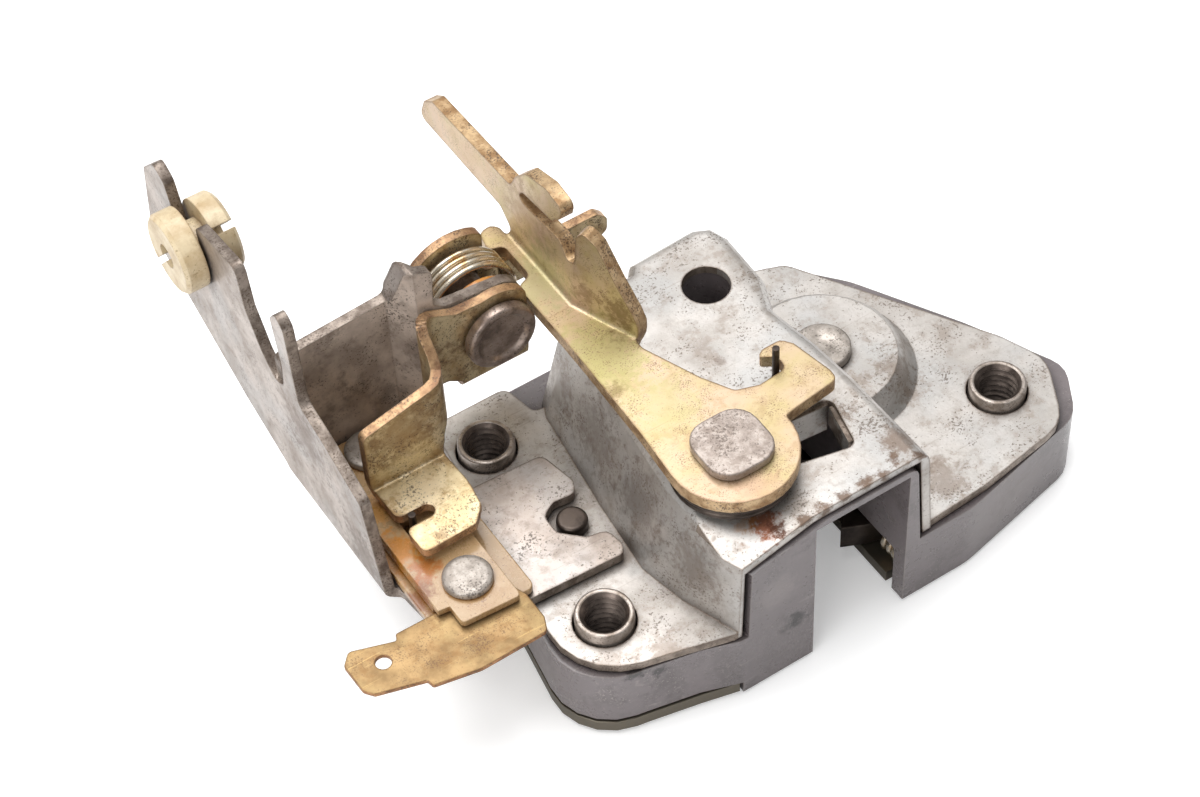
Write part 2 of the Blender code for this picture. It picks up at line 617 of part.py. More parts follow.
def make_stud(finish):
    pawl_top = LATCH_BOTTOM + LATCH_SHEET
    head = LEVER_TOP + CLINCH
    profile = [
        (0.0, 0.2 * MM), (STUD_PINTLE, 0.2 * MM), (STUD_PINTLE, PLATE_TOP + CLINCH),
        (STUD_DRIVE, PLATE_TOP + CLINCH), (STUD_DRIVE, pawl_top + CLINCH), (STUD_RADIUS, pawl_top + CLINCH),
        (STUD_RADIUS, head + 0.5 * MM), (0.0, head + 0.5 * MM),
    ]
    stud = turned("pawl_stud", profile, PAWL_PIVOT, finish, at=(*PAWL_PIVOT, 0.0))
    x, y = PAWL_PIVOT
    flat = STUD_HEAD * 0.9
    corners = [(x - flat, y - flat), (x + flat, y - flat), (x + flat, y + flat), (x - flat, y + flat)]
    head_outline = rounded([(*corner, STUD_HEAD * 0.62) for corner in corners])
    join(stud, prism("stud_head", head_outline, head, head + STUD_HEAD_HEIGHT))
    return stud


def coil(centre, radius, low, pitch, turns, start, parts=20):
    """Points round an upright axis, climbing from low."""
    x, y = centre
    points = []
    for step in range(round(parts * turns) + 1):
        turn = 2 * math.pi * step / parts
        angle = math.radians(start) + turn
        height = low + pitch * turn / (2 * math.pi)
        points.append(Vector((x + radius * math.cos(angle), y + radius * math.sin(angle), height)))
    return points


def make_pawl_spring(finish):
    low = HUMP_TOP + CLINCH / 2 + STACK_WIRE
    turns = STACK_TURNS + 0.08
    ring = coil(PAWL_PIVOT, STACK_RADIUS, low, 2 * STACK_WIRE * STACK_TURNS / turns, turns, 2.0)
    first = ring[0]
    leg = (first.x + 0.2 * MM, first.y - 1.1 * MM)
    down = [Vector((*leg, 24.6 * MM)), Vector((*leg, first.z - 0.3 * MM))]
    end = Vector((0.35 * MM, 18.35 * MM, ring[-1].z))
    up = [end, Vector((end.x, end.y, 35.0 * MM))]
    return wire("pawl_spring", [*down, *ring, *up], STACK_WIRE, finish, at=(*PAWL_PIVOT, HUMP_TOP))


def make_fork_spring(finish):
    wire_radius = 0.5 * MM
    radius = 2.3 * MM
    axis_z = LATCH_BOTTOM + radius + wire_radius + CLINCH
    ring = coil((10.3 * MM, 0.0), radius, 3.1 * MM, 1.1 * MM, 3.0, 90.0, 16)
    points = [Vector((p.x, p.z, axis_z + p.y)) for p in ring]
    last = points[-1]
    points.append(Vector((last.x, last.y + 3.6 * MM, last.z)))
    return wire("fork_spring", points, wire_radius, finish, at=points[0])


def make_release_lever(finish):
    turn_start, turn_end = LEVER_TURN
    middle = (LEVER_TOP + LEVER_BOTTOM) / 2
    length = LEVER_BEND * math.pi / 2

    def slant(y):
        share = min(1.0, max(0.0, (turn_start - y) / (turn_start - turn_end)))
        return LEVER_SLANT * share

    def on_wall(y, z):
        return Vector((LEVER_FOLD + length + z - middle - LEVER_BEND, y))

    def on_plate(x, y):
        return Vector((x - slant(y), y))

    eye = [on_plate(p.x, p.y) for p in arc(PAWL_PIVOT, 8.0 * MM, 176.0, 363.0, 16)]
    hook = mm(
        (-2.2, 11.6), (5.1, 12.5), (5.2, 14.1), (4.1, 19.9), (3.1, 21.3), (0.5, 21.3), (-0.7, 20.6),
        (0.9, 19.6), (1.35, 18.4), (0.9, 17.3), (-2.9, 17.0), (-5.8, 18.0), (-8.0, 22.0), (-11.0, 29.6),
    )
    wall = mm(
        (31.5, 33.0), (31.5, 33.8), (32.2, 35.6), (34.4, 39.7), (36.7, 44.5), (38.6, 45.8), (39.6, 44.4),
        (39.9, 40.4), (40.3, 39.2), (41.2, 39.2), (42.6, 41.2), (51.0, 40.4), (51.7, 41.4), (50.6, 42.5),
        (44.2, 43.2), (42.1, 45.2), (41.5, 47.4), (45.1, 48.0), (49.7, 46.6), (52.2, 43.9), (53.6, 41.3),
        (72.1, 40.6), (74.3, 39.0), (75.9, 35.2), (56.7, 35.1), (54.6, 33.0),
    )
    rear = mm(
        (-14.6, 54.8), (-14.6, 56.3), (-15.4, 57.3), (-17.2, 56.9), (-17.8, 53.8), (-15.8, 53.4),
        (-15.8, 47.4), (-18.0, 46.6), (-18.0, 40.2), (-18.0, 37.2), (-18.1, 31.3), (-18.5, 19.2),
    )
    outline = [
        *eye, *[on_plate(*p) for p in hook], on_plate(LEVER_FOLD + LEVER_SLANT, 31.5 * MM),
        *[on_wall(*p) for p in wall], *[on_plate(*p) for p in rear],
    ]
    outline = eased(outline, LEVER_CORNER)
    bore = [on_plate(p.x, p.y) for p in circle(PAWL_PIVOT, STUD_RADIUS + CLINCH)]
    fold = ((LEVER_FOLD, 0.0), (0.0, -1.0), 90.0, LEVER_BEND, lambda p: p.y > 31.4 * MM)
    place = Matrix.Translation((0.0, 0.0, middle))
    at = (*PAWL_PIVOT, LEVER_BOTTOM)

    def lean(co):
        return Vector((co.x + slant(co.y), co.y, co.z))

    return sheet(
        "release_lever", outline, [bore], [fold], place, LEVER_SHEET, finish, at=at, warp=lean,
        cuts=(turn_start, turn_end),
    )


def make_carrier(finish):
    middle = (CARRIER_TOP + CARRIER_BOTTOM) / 2
    fold_x = ARM_OUTER + BRACKET_SHEET / 2 + BRACKET_BEND
    length = BRACKET_BEND * math.pi / 2

    def on_arm(y, z):
        return Vector((fold_x - length - (z - middle - BRACKET_BEND), y))

    base = [
        *mm((-46.6, 18.6), (-35.4, 17.5), (-22.9, 16.8), (-22.3, 18.2), (-22.7, 20.9), (-25.3, 21.4)),
        *mm((-27.9, 24.0), (-27.9, 27.0), (-25.8, 28.2), (-22.8, 27.8), (-21.9, 29.6), (-23.0, 35.2)),
        *mm((-33.6, 35.8), (-34.6, 40.0), (-34.6, 50.6)),
    ]
    notch = arc(CLIP_CENTRE, CLIP_CORE + RUN, 0.0, -180.0, 8)
    lower = mm(
        (51.3, 14.9), (61.0, 18.6), (75.3, 25.8), (81.4, 29.4), (82.4, 32.0), (80.4, 43.4), (76.8, 47.0),
        (74.4, 45.6),
    )
    upper = mm(
        (66.8, 44.9), (56.4, 46.6), (55.5, 40.2), (52.7, 35.2), (50.0, 32.7), (47.8, 33.8), (47.2, 38.0),
        (48.2, 45.6), (46.6, 47.8), (44.9, 46.4), (44.2, 33.7), (39.0, 32.0), (31.1, 28.5), (28.1, 15.2),
    )
    outline = eased([
        *[Vector(p) for p in base], Vector((fold_x, 51.0 * MM)), *[on_arm(*p) for p in lower],
        *[on_arm(*p) for p in notch], *[on_arm(*p) for p in upper], Vector((fold_x, 28.0 * MM)),
        Vector((fold_x + 0.6 * MM, 22.0 * MM)),
    ], BRACKET_CORNER)
    holes = [circle(place, RIVET_SHANK + SEAT, 16) for place in SWITCH_RIVETS.values()]
    fold = ((fold_x, 0.0), (0.0, 1.0), 90.0, BRACKET_BEND, lambda p: p.x < fold_x)
    carrier = sheet(
        "carrier_bracket", outline, holes, [fold], Matrix.Translation((0.0, 0.0, middle)), BRACKET_SHEET, finish
    )
    ear = kept_left(arc(PIN_AXIS, EAR_RADIUS, -62.0, 66.0, 10), EAR_EDGE)
    web = [
        *mm((-49.3, 13.6), (-34.6, 13.6), (-34.2, 20.0), (-31.6, 25.3), (-22.0, 25.1)), *ear,
        *mm((-28.6, 36.4), (-30.2, 37.4), (-29.9, 43.2), (-32.9, 44.6), (-33.7, 41.0), (-34.4, 38.0)),
        *mm((-49.3, 36.9)),
    ]
    web = eased(web, 0.8 * MM)
    thick = BRACKET_SHEET
    joggle = WEB_REAR - WEB_FRONT
    plan = [
        *mm((-49.3, 0.0), (-34.8, 0.0)), (-32.4 * MM, -joggle), (-14.0 * MM, -joggle),
        (-14.0 * MM, thick - joggle), (-31.6 * MM, thick - joggle), (-34.0 * MM, thick), (-49.3 * MM, thick),
    ]
    plan = [Vector((x, y + WEB_REAR)) for x, y in plan]
    band = prism("carrier_web", plan, CARRIER_BOTTOM + 0.8 * MM, 46.0 * MM)
    boolean(band, prism("web_trim", web, WEB_FRONT - 1.0 * MM, WEB_REAR + 3.0 * MM, axis="Y"), "INTERSECT")
    join(carrier, band)
    bore = circle(PIN_AXIS, PIN_RADIUS + SEAT)
    cut(carrier, prism("web_bore", bore, WEB_FRONT - 1.0 * MM, WEB_FRONT + 3.0 * MM, axis="Y"))
    return carrier


def pin_stations():
    """Where the pieces on the pin stand along Y."""
    front_ear = WEB_FRONT - SEAT - CONTACT_SHEET
    head = front_ear - SEAT - PIN_HEAD_HEIGHT
    spacer = WEB_FRONT + BRACKET_SHEET + SEAT
    rear_ear = spacer + SPACER + REAR_EAR_GAP - 1.3 * MM
    ring = rear_ear + CONTACT_SHEET + SEAT
    return head, front_ear, spacer, rear_ear, ring


def make_pivot_pin(finish):
    head, front_ear, _, _, ring = pin_stations()
    end = ring + 1.6 * MM
    profile = [
        (0.0, head + 0.6 * MM), (PIN_HEAD - 1.5 * MM, head + 0.6 * MM), (PIN_HEAD - 1.1 * MM, head),
        (PIN_HEAD - 0.3 * MM, head), (PIN_HEAD, head + 0.3 * MM), (PIN_HEAD, head + PIN_HEAD_HEIGHT),
        (PIN_RADIUS, head + PIN_HEAD_HEIGHT), (PIN_RADIUS, end - 0.4 * MM), (PIN_RADIUS - 0.4 * MM, end),
        (0.0, end),
    ]
    return turned("pivot_pin", profile, PIN_AXIS, finish, axis="Y", parts=32)


def make_collar(name, inner, outer, low, thick, finish):
    profile = [(inner, low), (outer, low), (outer, low + thick), (inner, low + thick)]
    return turned(name, profile, PIN_AXIS, finish, axis="Y", parts=32)


def make_return_spring(finish):
    _, _, spacer, rear_ear, _ = pin_stations()
    low = spacer + SPACER + SEAT + RETURN_WIRE
    high = rear_ear - SEAT - RETURN_WIRE
    turns = 3.9
    ring = coil((0.0, 0.0), RETURN_RADIUS, 0.0, (high - low) / turns, turns, -120.0, 20)
    points = [Vector((PIN_AXIS[0] + p.x, low + p.z, PIN_AXIS[1] + p.y)) for p in ring]
    return wire("return_spring", points, RETURN_WIRE, finish, at=points[0])


def make_contact_lever(finish):
    _, front_ear, _, rear_ear, _ = pin_stations()
    plane = front_ear + CONTACT_SHEET / 2
    rear_plane = rear_ear + CONTACT_SHEET / 2
    bend = CONTACT_BEND
    length = bend * math.pi / 2
    sweep = CONTACT_SWEEP
    arc_length = sweep * math.pi / 2
    wing = -33.45 * MM + sweep
    run = plane - CONTACT_STEP - 2 * sweep
    step = wing - arc_length - run
    foot_line = FOOT_BOTTOM + CONTACT_SHEET / 2 + bend
    bridge_line = BRIDGE_TOP - CONTACT_SHEET / 2 + bend
    rear_line = bridge_line - length - (rear_plane - plane - 2 * bend)

    def on_run(y, z):
        return Vector((wing - arc_length - (plane - sweep - y), z))

    def on_step(x, z):
        return Vector((x - (wing - 2 * sweep) + step - arc_length, z))

    def on_foot(x, y):
        flat = on_step(x, 0.0)
        return Vector((flat.x, foot_line - length - (CONTACT_STEP - bend - y)))

    def on_rear(x, z):
        return Vector((x, rear_line - length - (z - bridge_line)))

    x, z = PIN_AXIS
    tab = [
        *mm((-18.8, 24.6), (-2.6, 24.6), (-0.9, 25.6), (-0.8, 27.8), (-2.2, 29.2), (-19.0, 29.2)),
        *arc(PIN_AXIS, REAR_EAR_RADIUS, 56.0, 180.0, 10),
        *mm((-30.2, 26.8), (-28.2, 24.6)),
    ]
    outline = [
        *[on_rear(*p) for p in tab], Vector((-28.2 * MM, bridge_line)), *mm((-30.2, 25.0)),
        *[on_run(*p) for p in mm((43.4, 25.2), (39.6, 25.2))],
        *[on_step(*p) for p in mm((-34.6, 23.4), (-34.9, 21.0))],
        *[on_foot(*p) for p in mm((-35.2, 37.2), (-35.6, 28.4), (-37.3, 26.6), (-44.6, 26.4))],
        *[on_foot(*p) for p in mm((-44.7, 30.6), (-40.6, 30.6), (-40.0, 31.6), (-40.6, 32.6), (-44.7, 32.6))],
        *[on_foot(*p) for p in mm((-44.8, 37.3))],
        *[on_step(*p) for p in mm((-45.2, 21.6), (-45.2, 30.3), (-34.6, 33.0))],
        *[on_run(*p) for p in mm((39.6, 33.6), (43.4, 38.2))],
        *mm((-32.2, 38.0), (-28.2, 36.0)), *kept_left(arc(PIN_AXIS, EAR_RADIUS, 105.0, -44.0, 12), EAR_EDGE),
        Vector((-18.8 * MM, bridge_line)),
    ]
    outline = eased(outline, CONTACT_CORNER)
    bore = circle(PIN_AXIS, PIN_RADIUS + RUN)
    holes = [bore, [on_rear(p.x, p.y) for p in bore]]
    left = wing - 1e-5
    folds = [
        ((0.0, rear_line), (-1.0, 0.0), -90.0, bend, lambda p: p.x > left and p.y < rear_line),
        ((0.0, bridge_line), (-1.0, 0.0), -90.0, bend, lambda p: p.x > left and p.y < bridge_line),
        ((0.0, foot_line), (-1.0, 0.0), 90.0, bend, lambda p: p.x < left and p.y < foot_line),
        ((step, 0.0), (0.0, 1.0), -90.0, sweep, lambda p: p.x < step),
        ((wing, 0.0), (0.0, 1.0), 90.0, sweep, lambda p: p.x < left),
    ]
    place = Matrix(((1, 0, 0, 0), (0, 0, -1, plane), (0, 1, 0, 0), (0, 0, 0, 1)))
    at = (PIN_AXIS[0], plane, PIN_AXIS[1])
    return sheet("contact_lever", outline, holes, folds, place, CONTACT_SHEET, finish, at=at)


def make_switch(base_finish, cover_finish, brass, steel):
    low = CARRIER_TOP + SEAT
    top = low + SWITCH_BASE
    base_outline = rounded(mm((-47.9, 19.2, 1.0), (-34.8, 17.8, 1.0), (-34.8, 48.5, 1.5), (-47.9, 48.5, 1.5)))
    base = prism("switch_base", base_outline, low, top, base_finish)
    lid_low = top + SEAT
    lid_top = lid_low + SWITCH_COVER
    lid = rounded(mm(
        (-45.4, 16.9, 0.6), (-37.6, 16.4, 0.6), (-37.6, 48.4, 2.5), (-46.9, 48.4, 2.5), (-46.9, 20.0),
        (-45.4, 19.8),
    ))
    cover = prism("switch_cover", lid, lid_low, lid_top, cover_finish)
    blade = rounded(mm(
        (-37.4, 11.1, 0.8), (-36.6, 13.0), (-36.6, 17.0), (-37.4, 19.2), (-46.4, 20.8), (-52.3, 20.9, 0.4),
        (-52.7, 20.0, 0.3), (-58.2, 21.9, 0.8), (-59.6, 20.4, 0.5), (-59.5, 16.2, 0.8), (-58.6, 15.0, 0.5),
        (-52.6, 13.2, 0.3), (-52.4, 12.2, 0.4), (-46.5, 11.0, 3.0),
    ))
    terminal = prism("terminal", list(reversed(blade)), lid_low, lid_low + TERMINAL_SHEET, brass)
    cut(terminal, prism("terminal_hole", circle(mm((-55.5, 18.3))[0], 1.0 * MM, 16), 10.0 * MM, 20.0 * MM))
    channel = [Vector(p) for p in mm((-60.0, 10.0), (-36.0, 10.0), (-36.0, 21.4), (-60.0, 21.4))]
    cut(cover, prism("terminal_channel", channel, lid_low - 1.0 * MM, lid_low + TERMINAL_SHEET + SEAT))
    slot = mm((-44.0, 29.2), (-42.4, 29.2), (-42.4, 34.0), (-44.0, 34.0))
    cut(cover, prism("contact_slot", [Vector(p) for p in slot], lid_low - 1.0 * MM, lid_top + 1.0 * MM))
    x, y = mm((-43.2, 31.6))[0]
    bent = top + SEAT + 0.7 * MM
    tip = FOOT_BOTTOM + CONTACT_SHEET + 0.8 * MM
    path = [Vector((x, y - 1.6 * MM, bent)), Vector((x, y, bent)), Vector((x, y, tip))]
    contact = wire("switch_contact", path, 0.5 * MM, steel)
    for name, place in SWITCH_RIVETS.items():
        head = lid_top + CLINCH
        crown = head + RIVET_HEAD_HEIGHT
        tail = CARRIER_BOTTOM - CLINCH
        profile = [
            (0.0, tail - 0.8 * MM), (RIVET_HEAD - 0.6 * MM, tail - 0.8 * MM), (RIVET_HEAD - 0.6 * MM, tail),
            (RIVET_SHANK, tail), (RIVET_SHANK, head), (RIVET_HEAD, head), (RIVET_HEAD, crown - 0.4 * MM),
            (RIVET_HEAD - 0.6 * MM, crown), (0.0, crown),
        ]
        turned(name, profile, place, steel, parts=24)
        bore = circle(place, RIVET_SHANK + SEAT, 16)
        for piece in (base, cover):
            cut(piece, prism(f"{name}_{piece.name}_cut", bore, 12.0 * MM, 20.0 * MM))
    return base, cover, terminal, contact


def make_clip(finish):
    inner = ARM_OUTER - SEAT
    outer = ARM_OUTER + BRACKET_SHEET + SEAT
    near = inner - CLIP_DISC
    far = outer + CLIP_DISC
    profile = [
        (CLIP_HOLE, near), (CLIP_RADIUS - 0.5 * MM, near), (CLIP_RADIUS, near + 0.5 * MM),
        (CLIP_RADIUS, inner), (CLIP_CORE, inner), (CLIP_CORE, outer), (CLIP_RADIUS, outer),
        (CLIP_RADIUS, far - 0.5 * MM), (CLIP_RADIUS - 0.5 * MM, far), (CLIP_HOLE, far),
    ]
    clip = turned("cable_clip", profile, CLIP_CENTRE, finish, axis="X", parts=32)
    y, z = CLIP_CENTRE
    slits = (
        ("front", near - 1.0 * MM, inner + 0.2 * MM, 1.0),
        ("rear", outer - 0.2 * MM, outer + 9.0 * MM, -1.0),
    )
    for name, low, high, side in slits:
        along = Vector((0.65, -0.76)) * side
        across = Vector((0.76, 0.65)) * 0.45 * MM
        end = Vector((y, z)) + along * (CLIP_RADIUS + 2.0 * MM)
        slit = [Vector((y, z)) - across, end - across, end + across, Vector((y, z)) + across]
        cut(clip, prism(f"clip_slit_{name}", slit, low, high, axis="X"))
    return clip


def make_locating_pin(finish):
    profile = [
        (0.0, FLANGE_TOP + CLINCH), (LOCATING_RADIUS, FLANGE_TOP + CLINCH),
        (LOCATING_RADIUS, CARRIER_TOP - SEAT), (LOCATING_RADIUS - SEAT, CARRIER_TOP), (0.0, CARRIER_TOP),
    ]
    return turned("locating_pin", profile, LOCATING_PIN, finish, parts=20)


def main():
    clear_scene()
    zinc = material("zinc_plated_steel", (0.60, 0.58, 0.54), 0.85, 0.42)
    plastic = material("black_moulded_plastic", (0.022, 0.022, 0.024), 0.0, 0.34)
    plate = material("phosphated_steel", (0.16, 0.14, 0.11), 0.7, 0.55)
    bush = material("bright_turned_steel", (0.62, 0.61, 0.58), 0.9, 0.32)
    gold = material("yellow_zinc_steel", (0.66, 0.52, 0.26), 0.85, 0.36)
    grey = material("raw_grey_steel", (0.34, 0.33, 0.31), 0.8, 0.45)
    dark = material("oiled_dark_steel", (0.07, 0.066, 0.06), 0.75, 0.42)
    bronze = material("bronze_brown_steel", (0.36, 0.28, 0.17), 0.8, 0.42)
    bright = material("bright_spring_wire", (0.66, 0.63, 0.56), 0.95, 0.25)
    amber = material("amber_nylon", (0.52, 0.30, 0.10), 0.0, 0.35)
    tan = material("tan_nylon", (0.50, 0.36, 0.20), 0.0, 0.4)
    ivory = material("ivory_nylon", (0.72, 0.68, 0.58), 0.0, 0.4)
    brass = material("brass", (0.62, 0.47, 0.24), 0.9, 0.36)
    rivet = material("white_zinc_rivet", (0.66, 0.65, 0.62), 0.85, 0.38)
    pin = material("dark_pin_steel", (0.20, 0.19, 0.175), 0.85, 0.38)
    latch = material("latch_steel", (0.30, 0.29, 0.27), 0.85, 0.36)

    make_bottom_plate(plate)
    make_housing(plastic)
    make_cover(zinc)
    for name, place in BUSHES.items():
        make_bush(name, place, bush)
    make_fork_rivet(rivet)
    make_fork(latch)
    make_fork_spring(bright)
    make_pawl(latch)
    make_stud(pin)
    make_pawl_spring(dark)
    make_release_lever(gold)
    make_carrier(grey)
    make_pivot_pin(pin)
    _, _, spacer, _, ring = pin_stations()
    make_collar("spacer_bush", PIN_RADIUS + SEAT, 5.0 * MM, spacer, SPACER, amber)
    make_collar("pin_ring", PIN_RADIUS + CLINCH, 4.2 * MM, ring, 0.8 * MM, pin)
    make_return_spring(bright)
    make_contact_lever(bronze)
    make_switch(tan, tan, brass, rivet)
    make_clip(ivory)
    make_locating_pin(dark)


main()
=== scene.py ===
"""Looks of a tailgate lock: zinc cover, black housing, yellow release lever and grey switch carrier.

X runs to the right along the lock, Y from the striker's mouth to the back, Z up from the panel face.
"""

import json
import math

import bpy
from bpy.props import FloatProperty, FloatVectorProperty, IntProperty, PointerProperty
from bpy.types import Operator, Panel, PropertyGroup
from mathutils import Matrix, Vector

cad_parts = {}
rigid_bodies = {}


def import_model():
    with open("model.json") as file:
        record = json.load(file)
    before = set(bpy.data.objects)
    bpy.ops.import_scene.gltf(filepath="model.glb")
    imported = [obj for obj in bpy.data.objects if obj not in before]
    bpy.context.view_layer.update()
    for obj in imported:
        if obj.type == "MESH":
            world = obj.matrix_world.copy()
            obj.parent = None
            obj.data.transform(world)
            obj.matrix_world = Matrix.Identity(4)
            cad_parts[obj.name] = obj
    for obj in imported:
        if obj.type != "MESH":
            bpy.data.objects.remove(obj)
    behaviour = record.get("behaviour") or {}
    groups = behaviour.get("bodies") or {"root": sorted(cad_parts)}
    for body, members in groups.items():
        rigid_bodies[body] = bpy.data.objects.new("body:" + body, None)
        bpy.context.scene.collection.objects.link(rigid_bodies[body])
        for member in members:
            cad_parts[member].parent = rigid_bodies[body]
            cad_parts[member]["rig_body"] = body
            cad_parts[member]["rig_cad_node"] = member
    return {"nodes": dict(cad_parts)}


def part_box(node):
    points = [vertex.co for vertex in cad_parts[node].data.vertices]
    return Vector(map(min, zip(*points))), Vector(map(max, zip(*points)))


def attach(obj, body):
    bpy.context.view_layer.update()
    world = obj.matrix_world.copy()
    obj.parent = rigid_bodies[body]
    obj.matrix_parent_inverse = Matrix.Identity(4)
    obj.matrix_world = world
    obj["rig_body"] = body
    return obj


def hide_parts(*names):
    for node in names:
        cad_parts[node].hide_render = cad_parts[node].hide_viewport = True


bl_info = {
    "name": "Tailgate Lock",
    "version": (1, 0, 0),
    "blender": (4, 5, 0),
    "location": "3D View > Sidebar > Tailgate Lock",
    "description": "Builds the surfaces of a tailgate lock on its solid model",
    "category": "Object",
}

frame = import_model()

MM = 0.001

# Points this close, in metres, are one point
WELD = 1e-6

# Sizes and places are in millimetres, as in the solid model

# Axes of the round pieces
BUSHES = {
    "bush_front_left": (-29.7, 10.9),
    "bush_rear_left": (-27.5, 41.1),
    "bush_right": (30.3, 12.1),
}
FORK_PIVOT = (14.3, 27.6)
PAWL_PIVOT = (-11.1, 11.0)
PIN_AXIS = (-23.0, 29.9)
SWITCH_RIVETS = {"switch_rivet_front": (-41.6, 21.9), "switch_rivet_rear": (-41.5, 45.2)}

# Top of the cover's hump, and how far the boss's foot reaches from the fork's pivot
HUMP_TOP = 27.2
BOSS_FOOT = 13.5

# The smallest ring that a turned profile starts or ends with, close round its axis
AXIS_RING = 0.02

# A mounting bush: its collar, the spigot under it and its M6 thread's root and crest
COLLAR_RADIUS = 3.65
SPIGOT_RADIUS = 2.9
SPIGOT_HEIGHT = 2.1
THREAD_ROOT = 3.0
THREAD_CREST = 2.44
THREAD_START = 0.6

# The fork's rivet: its foot, its shank, and its head on the boss
FORK_RIVET_FOOT = 4.4
FORK_RIVET_SHANK = 3.0
FORK_RIVET_HEAD = 3.7
BOSS_TOP = 16.12

# The switch's rivets: their heads, shanks and flat feet
SWITCH_RIVET_HEAD = 3.1
SWITCH_RIVET_SHANK = 1.6
SWITCH_RIVET_FOOT = 2.5

# The pawl's spring: its wire's radius, its ring and where its long end stands and stops
PAWL_WIRE = 0.45
PAWL_RING = 7.1
PAWL_RING_RISE = 1.8
PAWL_RING_TURNS = 2.08
PAWL_FOOT = 24.65
PAWL_END = (0.35, 18.35)
PAWL_END_TOP = 34.95

# The contact lever's return spring: its wire's radius, its ring and its turns
RETURN_WIRE = 0.42
RETURN_RING = 5.8
RETURN_TURNS = 3.9

# Corner of the carrier's rear web, whose front face has a finish of its own: partly its own dark tone, partly
# painted shade and a painted reflection of the switch before it
WEB_CORNER = (-48.3, 45.0, 14.6)

# Gauges of the sheet pieces, and the largest face in square millimetres that a cut edge may have
COVER_SHEET = 1.2
LEVER_SHEET = 1.8
BRACKET_SHEET = 1.4
CONTACT_SHEET = 1.3
TERMINAL_SHEET = 0.6
LARGEST_EDGE_FACE = 45.0

# The floor's side and how far it lies below the lock, in metres
FLOOR_SIZE = 6.0
FLOOR_DROP = 0.0006

# The camera's place in millimetres, its turn about X, Y and Z in degrees, and its lens
CAMERA_PLACE = (-127.787, -157.016, 289.278)
CAMERA_TURN = (39.511, 2.237, -33.310)
CAMERA_LENS = 85.1

# A fine noise breaks up every outline; specks stand in swarms this many times their own size. Specks and
# grain are drawn coarser than the real ones, because those are too fine to show in the render.
BROKEN_MM = 1.1
SWARM = 14

# An edge under a worn finish is eased this much more, in millimetres
EASED_EDGE = 0.25


def linear(code):
    """An sRGB hex colour as the linear values that a shader takes."""
    values = [int(code[i : i + 2], 16) / 255 for i in (1, 3, 5)]
    return tuple(v / 12.92 if v <= 0.04045 else ((v + 0.055) / 1.055) ** 2.4 for v in values)


def colour(name, code, description):
    """A finish's colour that the panel can change."""
    return FloatVectorProperty(
        name=name, description=description, subtype="COLOR", size=3, min=0.0, max=1.0, default=linear(code)
    )


def length(name, size, description):
    """A size in millimetres that the panel can change."""
    return FloatProperty(name=name, description=description, default=size * MM, min=0.0, unit="LENGTH")


class TailgateLockSizes(PropertyGroup):
    """Small sizes of the surfaces."""

    cover_edge: length("Cover edge", 0.27, "Rounding that pressing leaves on the cover")
    plate_edge: length("Plate edge", 0.18, "Rounding left on the bottom plate by blanking")
    latch_edge: length("Latch edge", 0.3, "Rounding of the tumbled fork, pawl and stud")
    lever_edge: length("Lever edge", 0.28, "Rounding of the release lever's edges")
    bracket_edge: length("Bracket edge", 0.22, "Rounding of the carrier and the contact lever")
    pin_edge: length("Pin edge", 0.15, "Rounding of the pivot pin and its ring")
    terminal_edge: length("Terminal edge", 0.12, "Rounding of the stamped terminal")
    small_edge: length("Small edge", 0.2, "Rounding of the small turned and moulded pieces")
    moulded_edge: length("Moulded edge", 0.35, "Rounding of the housing's and the switch's edges")
    clip_edge: length("Clip edge", 0.25, "Rounding of the cable clip")
    thread_pitch: length("Thread pitch", 1.0, "Pitch of the bushes' M6 thread")
    round_parts: IntProperty(
        name="Round parts", description="Sides of a turned piece", default=72, min=24, max=160
    )


class TailgateLockColours(PropertyGroup):
    """Colours of the finishes."""

    zinc: colour("White zinc", "#bfbab5", "Cover plate")
    plastic: colour("Housing", "#686061", "Moulded housing")
    gold: colour("Yellow zinc", "#c1ad8d", "Release lever")
    carrier: colour("Carrier", "#b1a69e", "Bare steel carrier")
    bronze: colour("Contact lever", "#d9c8a2", "Contact lever's faces")
    nylon: colour("Nylon", "#b4956e", "Switch body")
    clip: colour("Clip", "#d6c5a4", "Cable clip")
    brass: colour("Brass", "#967b54", "Terminal")


# Materials


def add(tree, kind, inputs=None, **settings):
    """Adds a node with its settings; an input is a value, or another node's output to link."""
    made = tree.nodes.new(kind)
    for name, value in settings.items():
        setattr(made, name, value)
    for name, value in (inputs or {}).items():
        socket = made.inputs[name]
        if isinstance(value, bpy.types.NodeSocket):
            tree.links.new(value, socket)
        else:
            socket.default_value = value
    return made


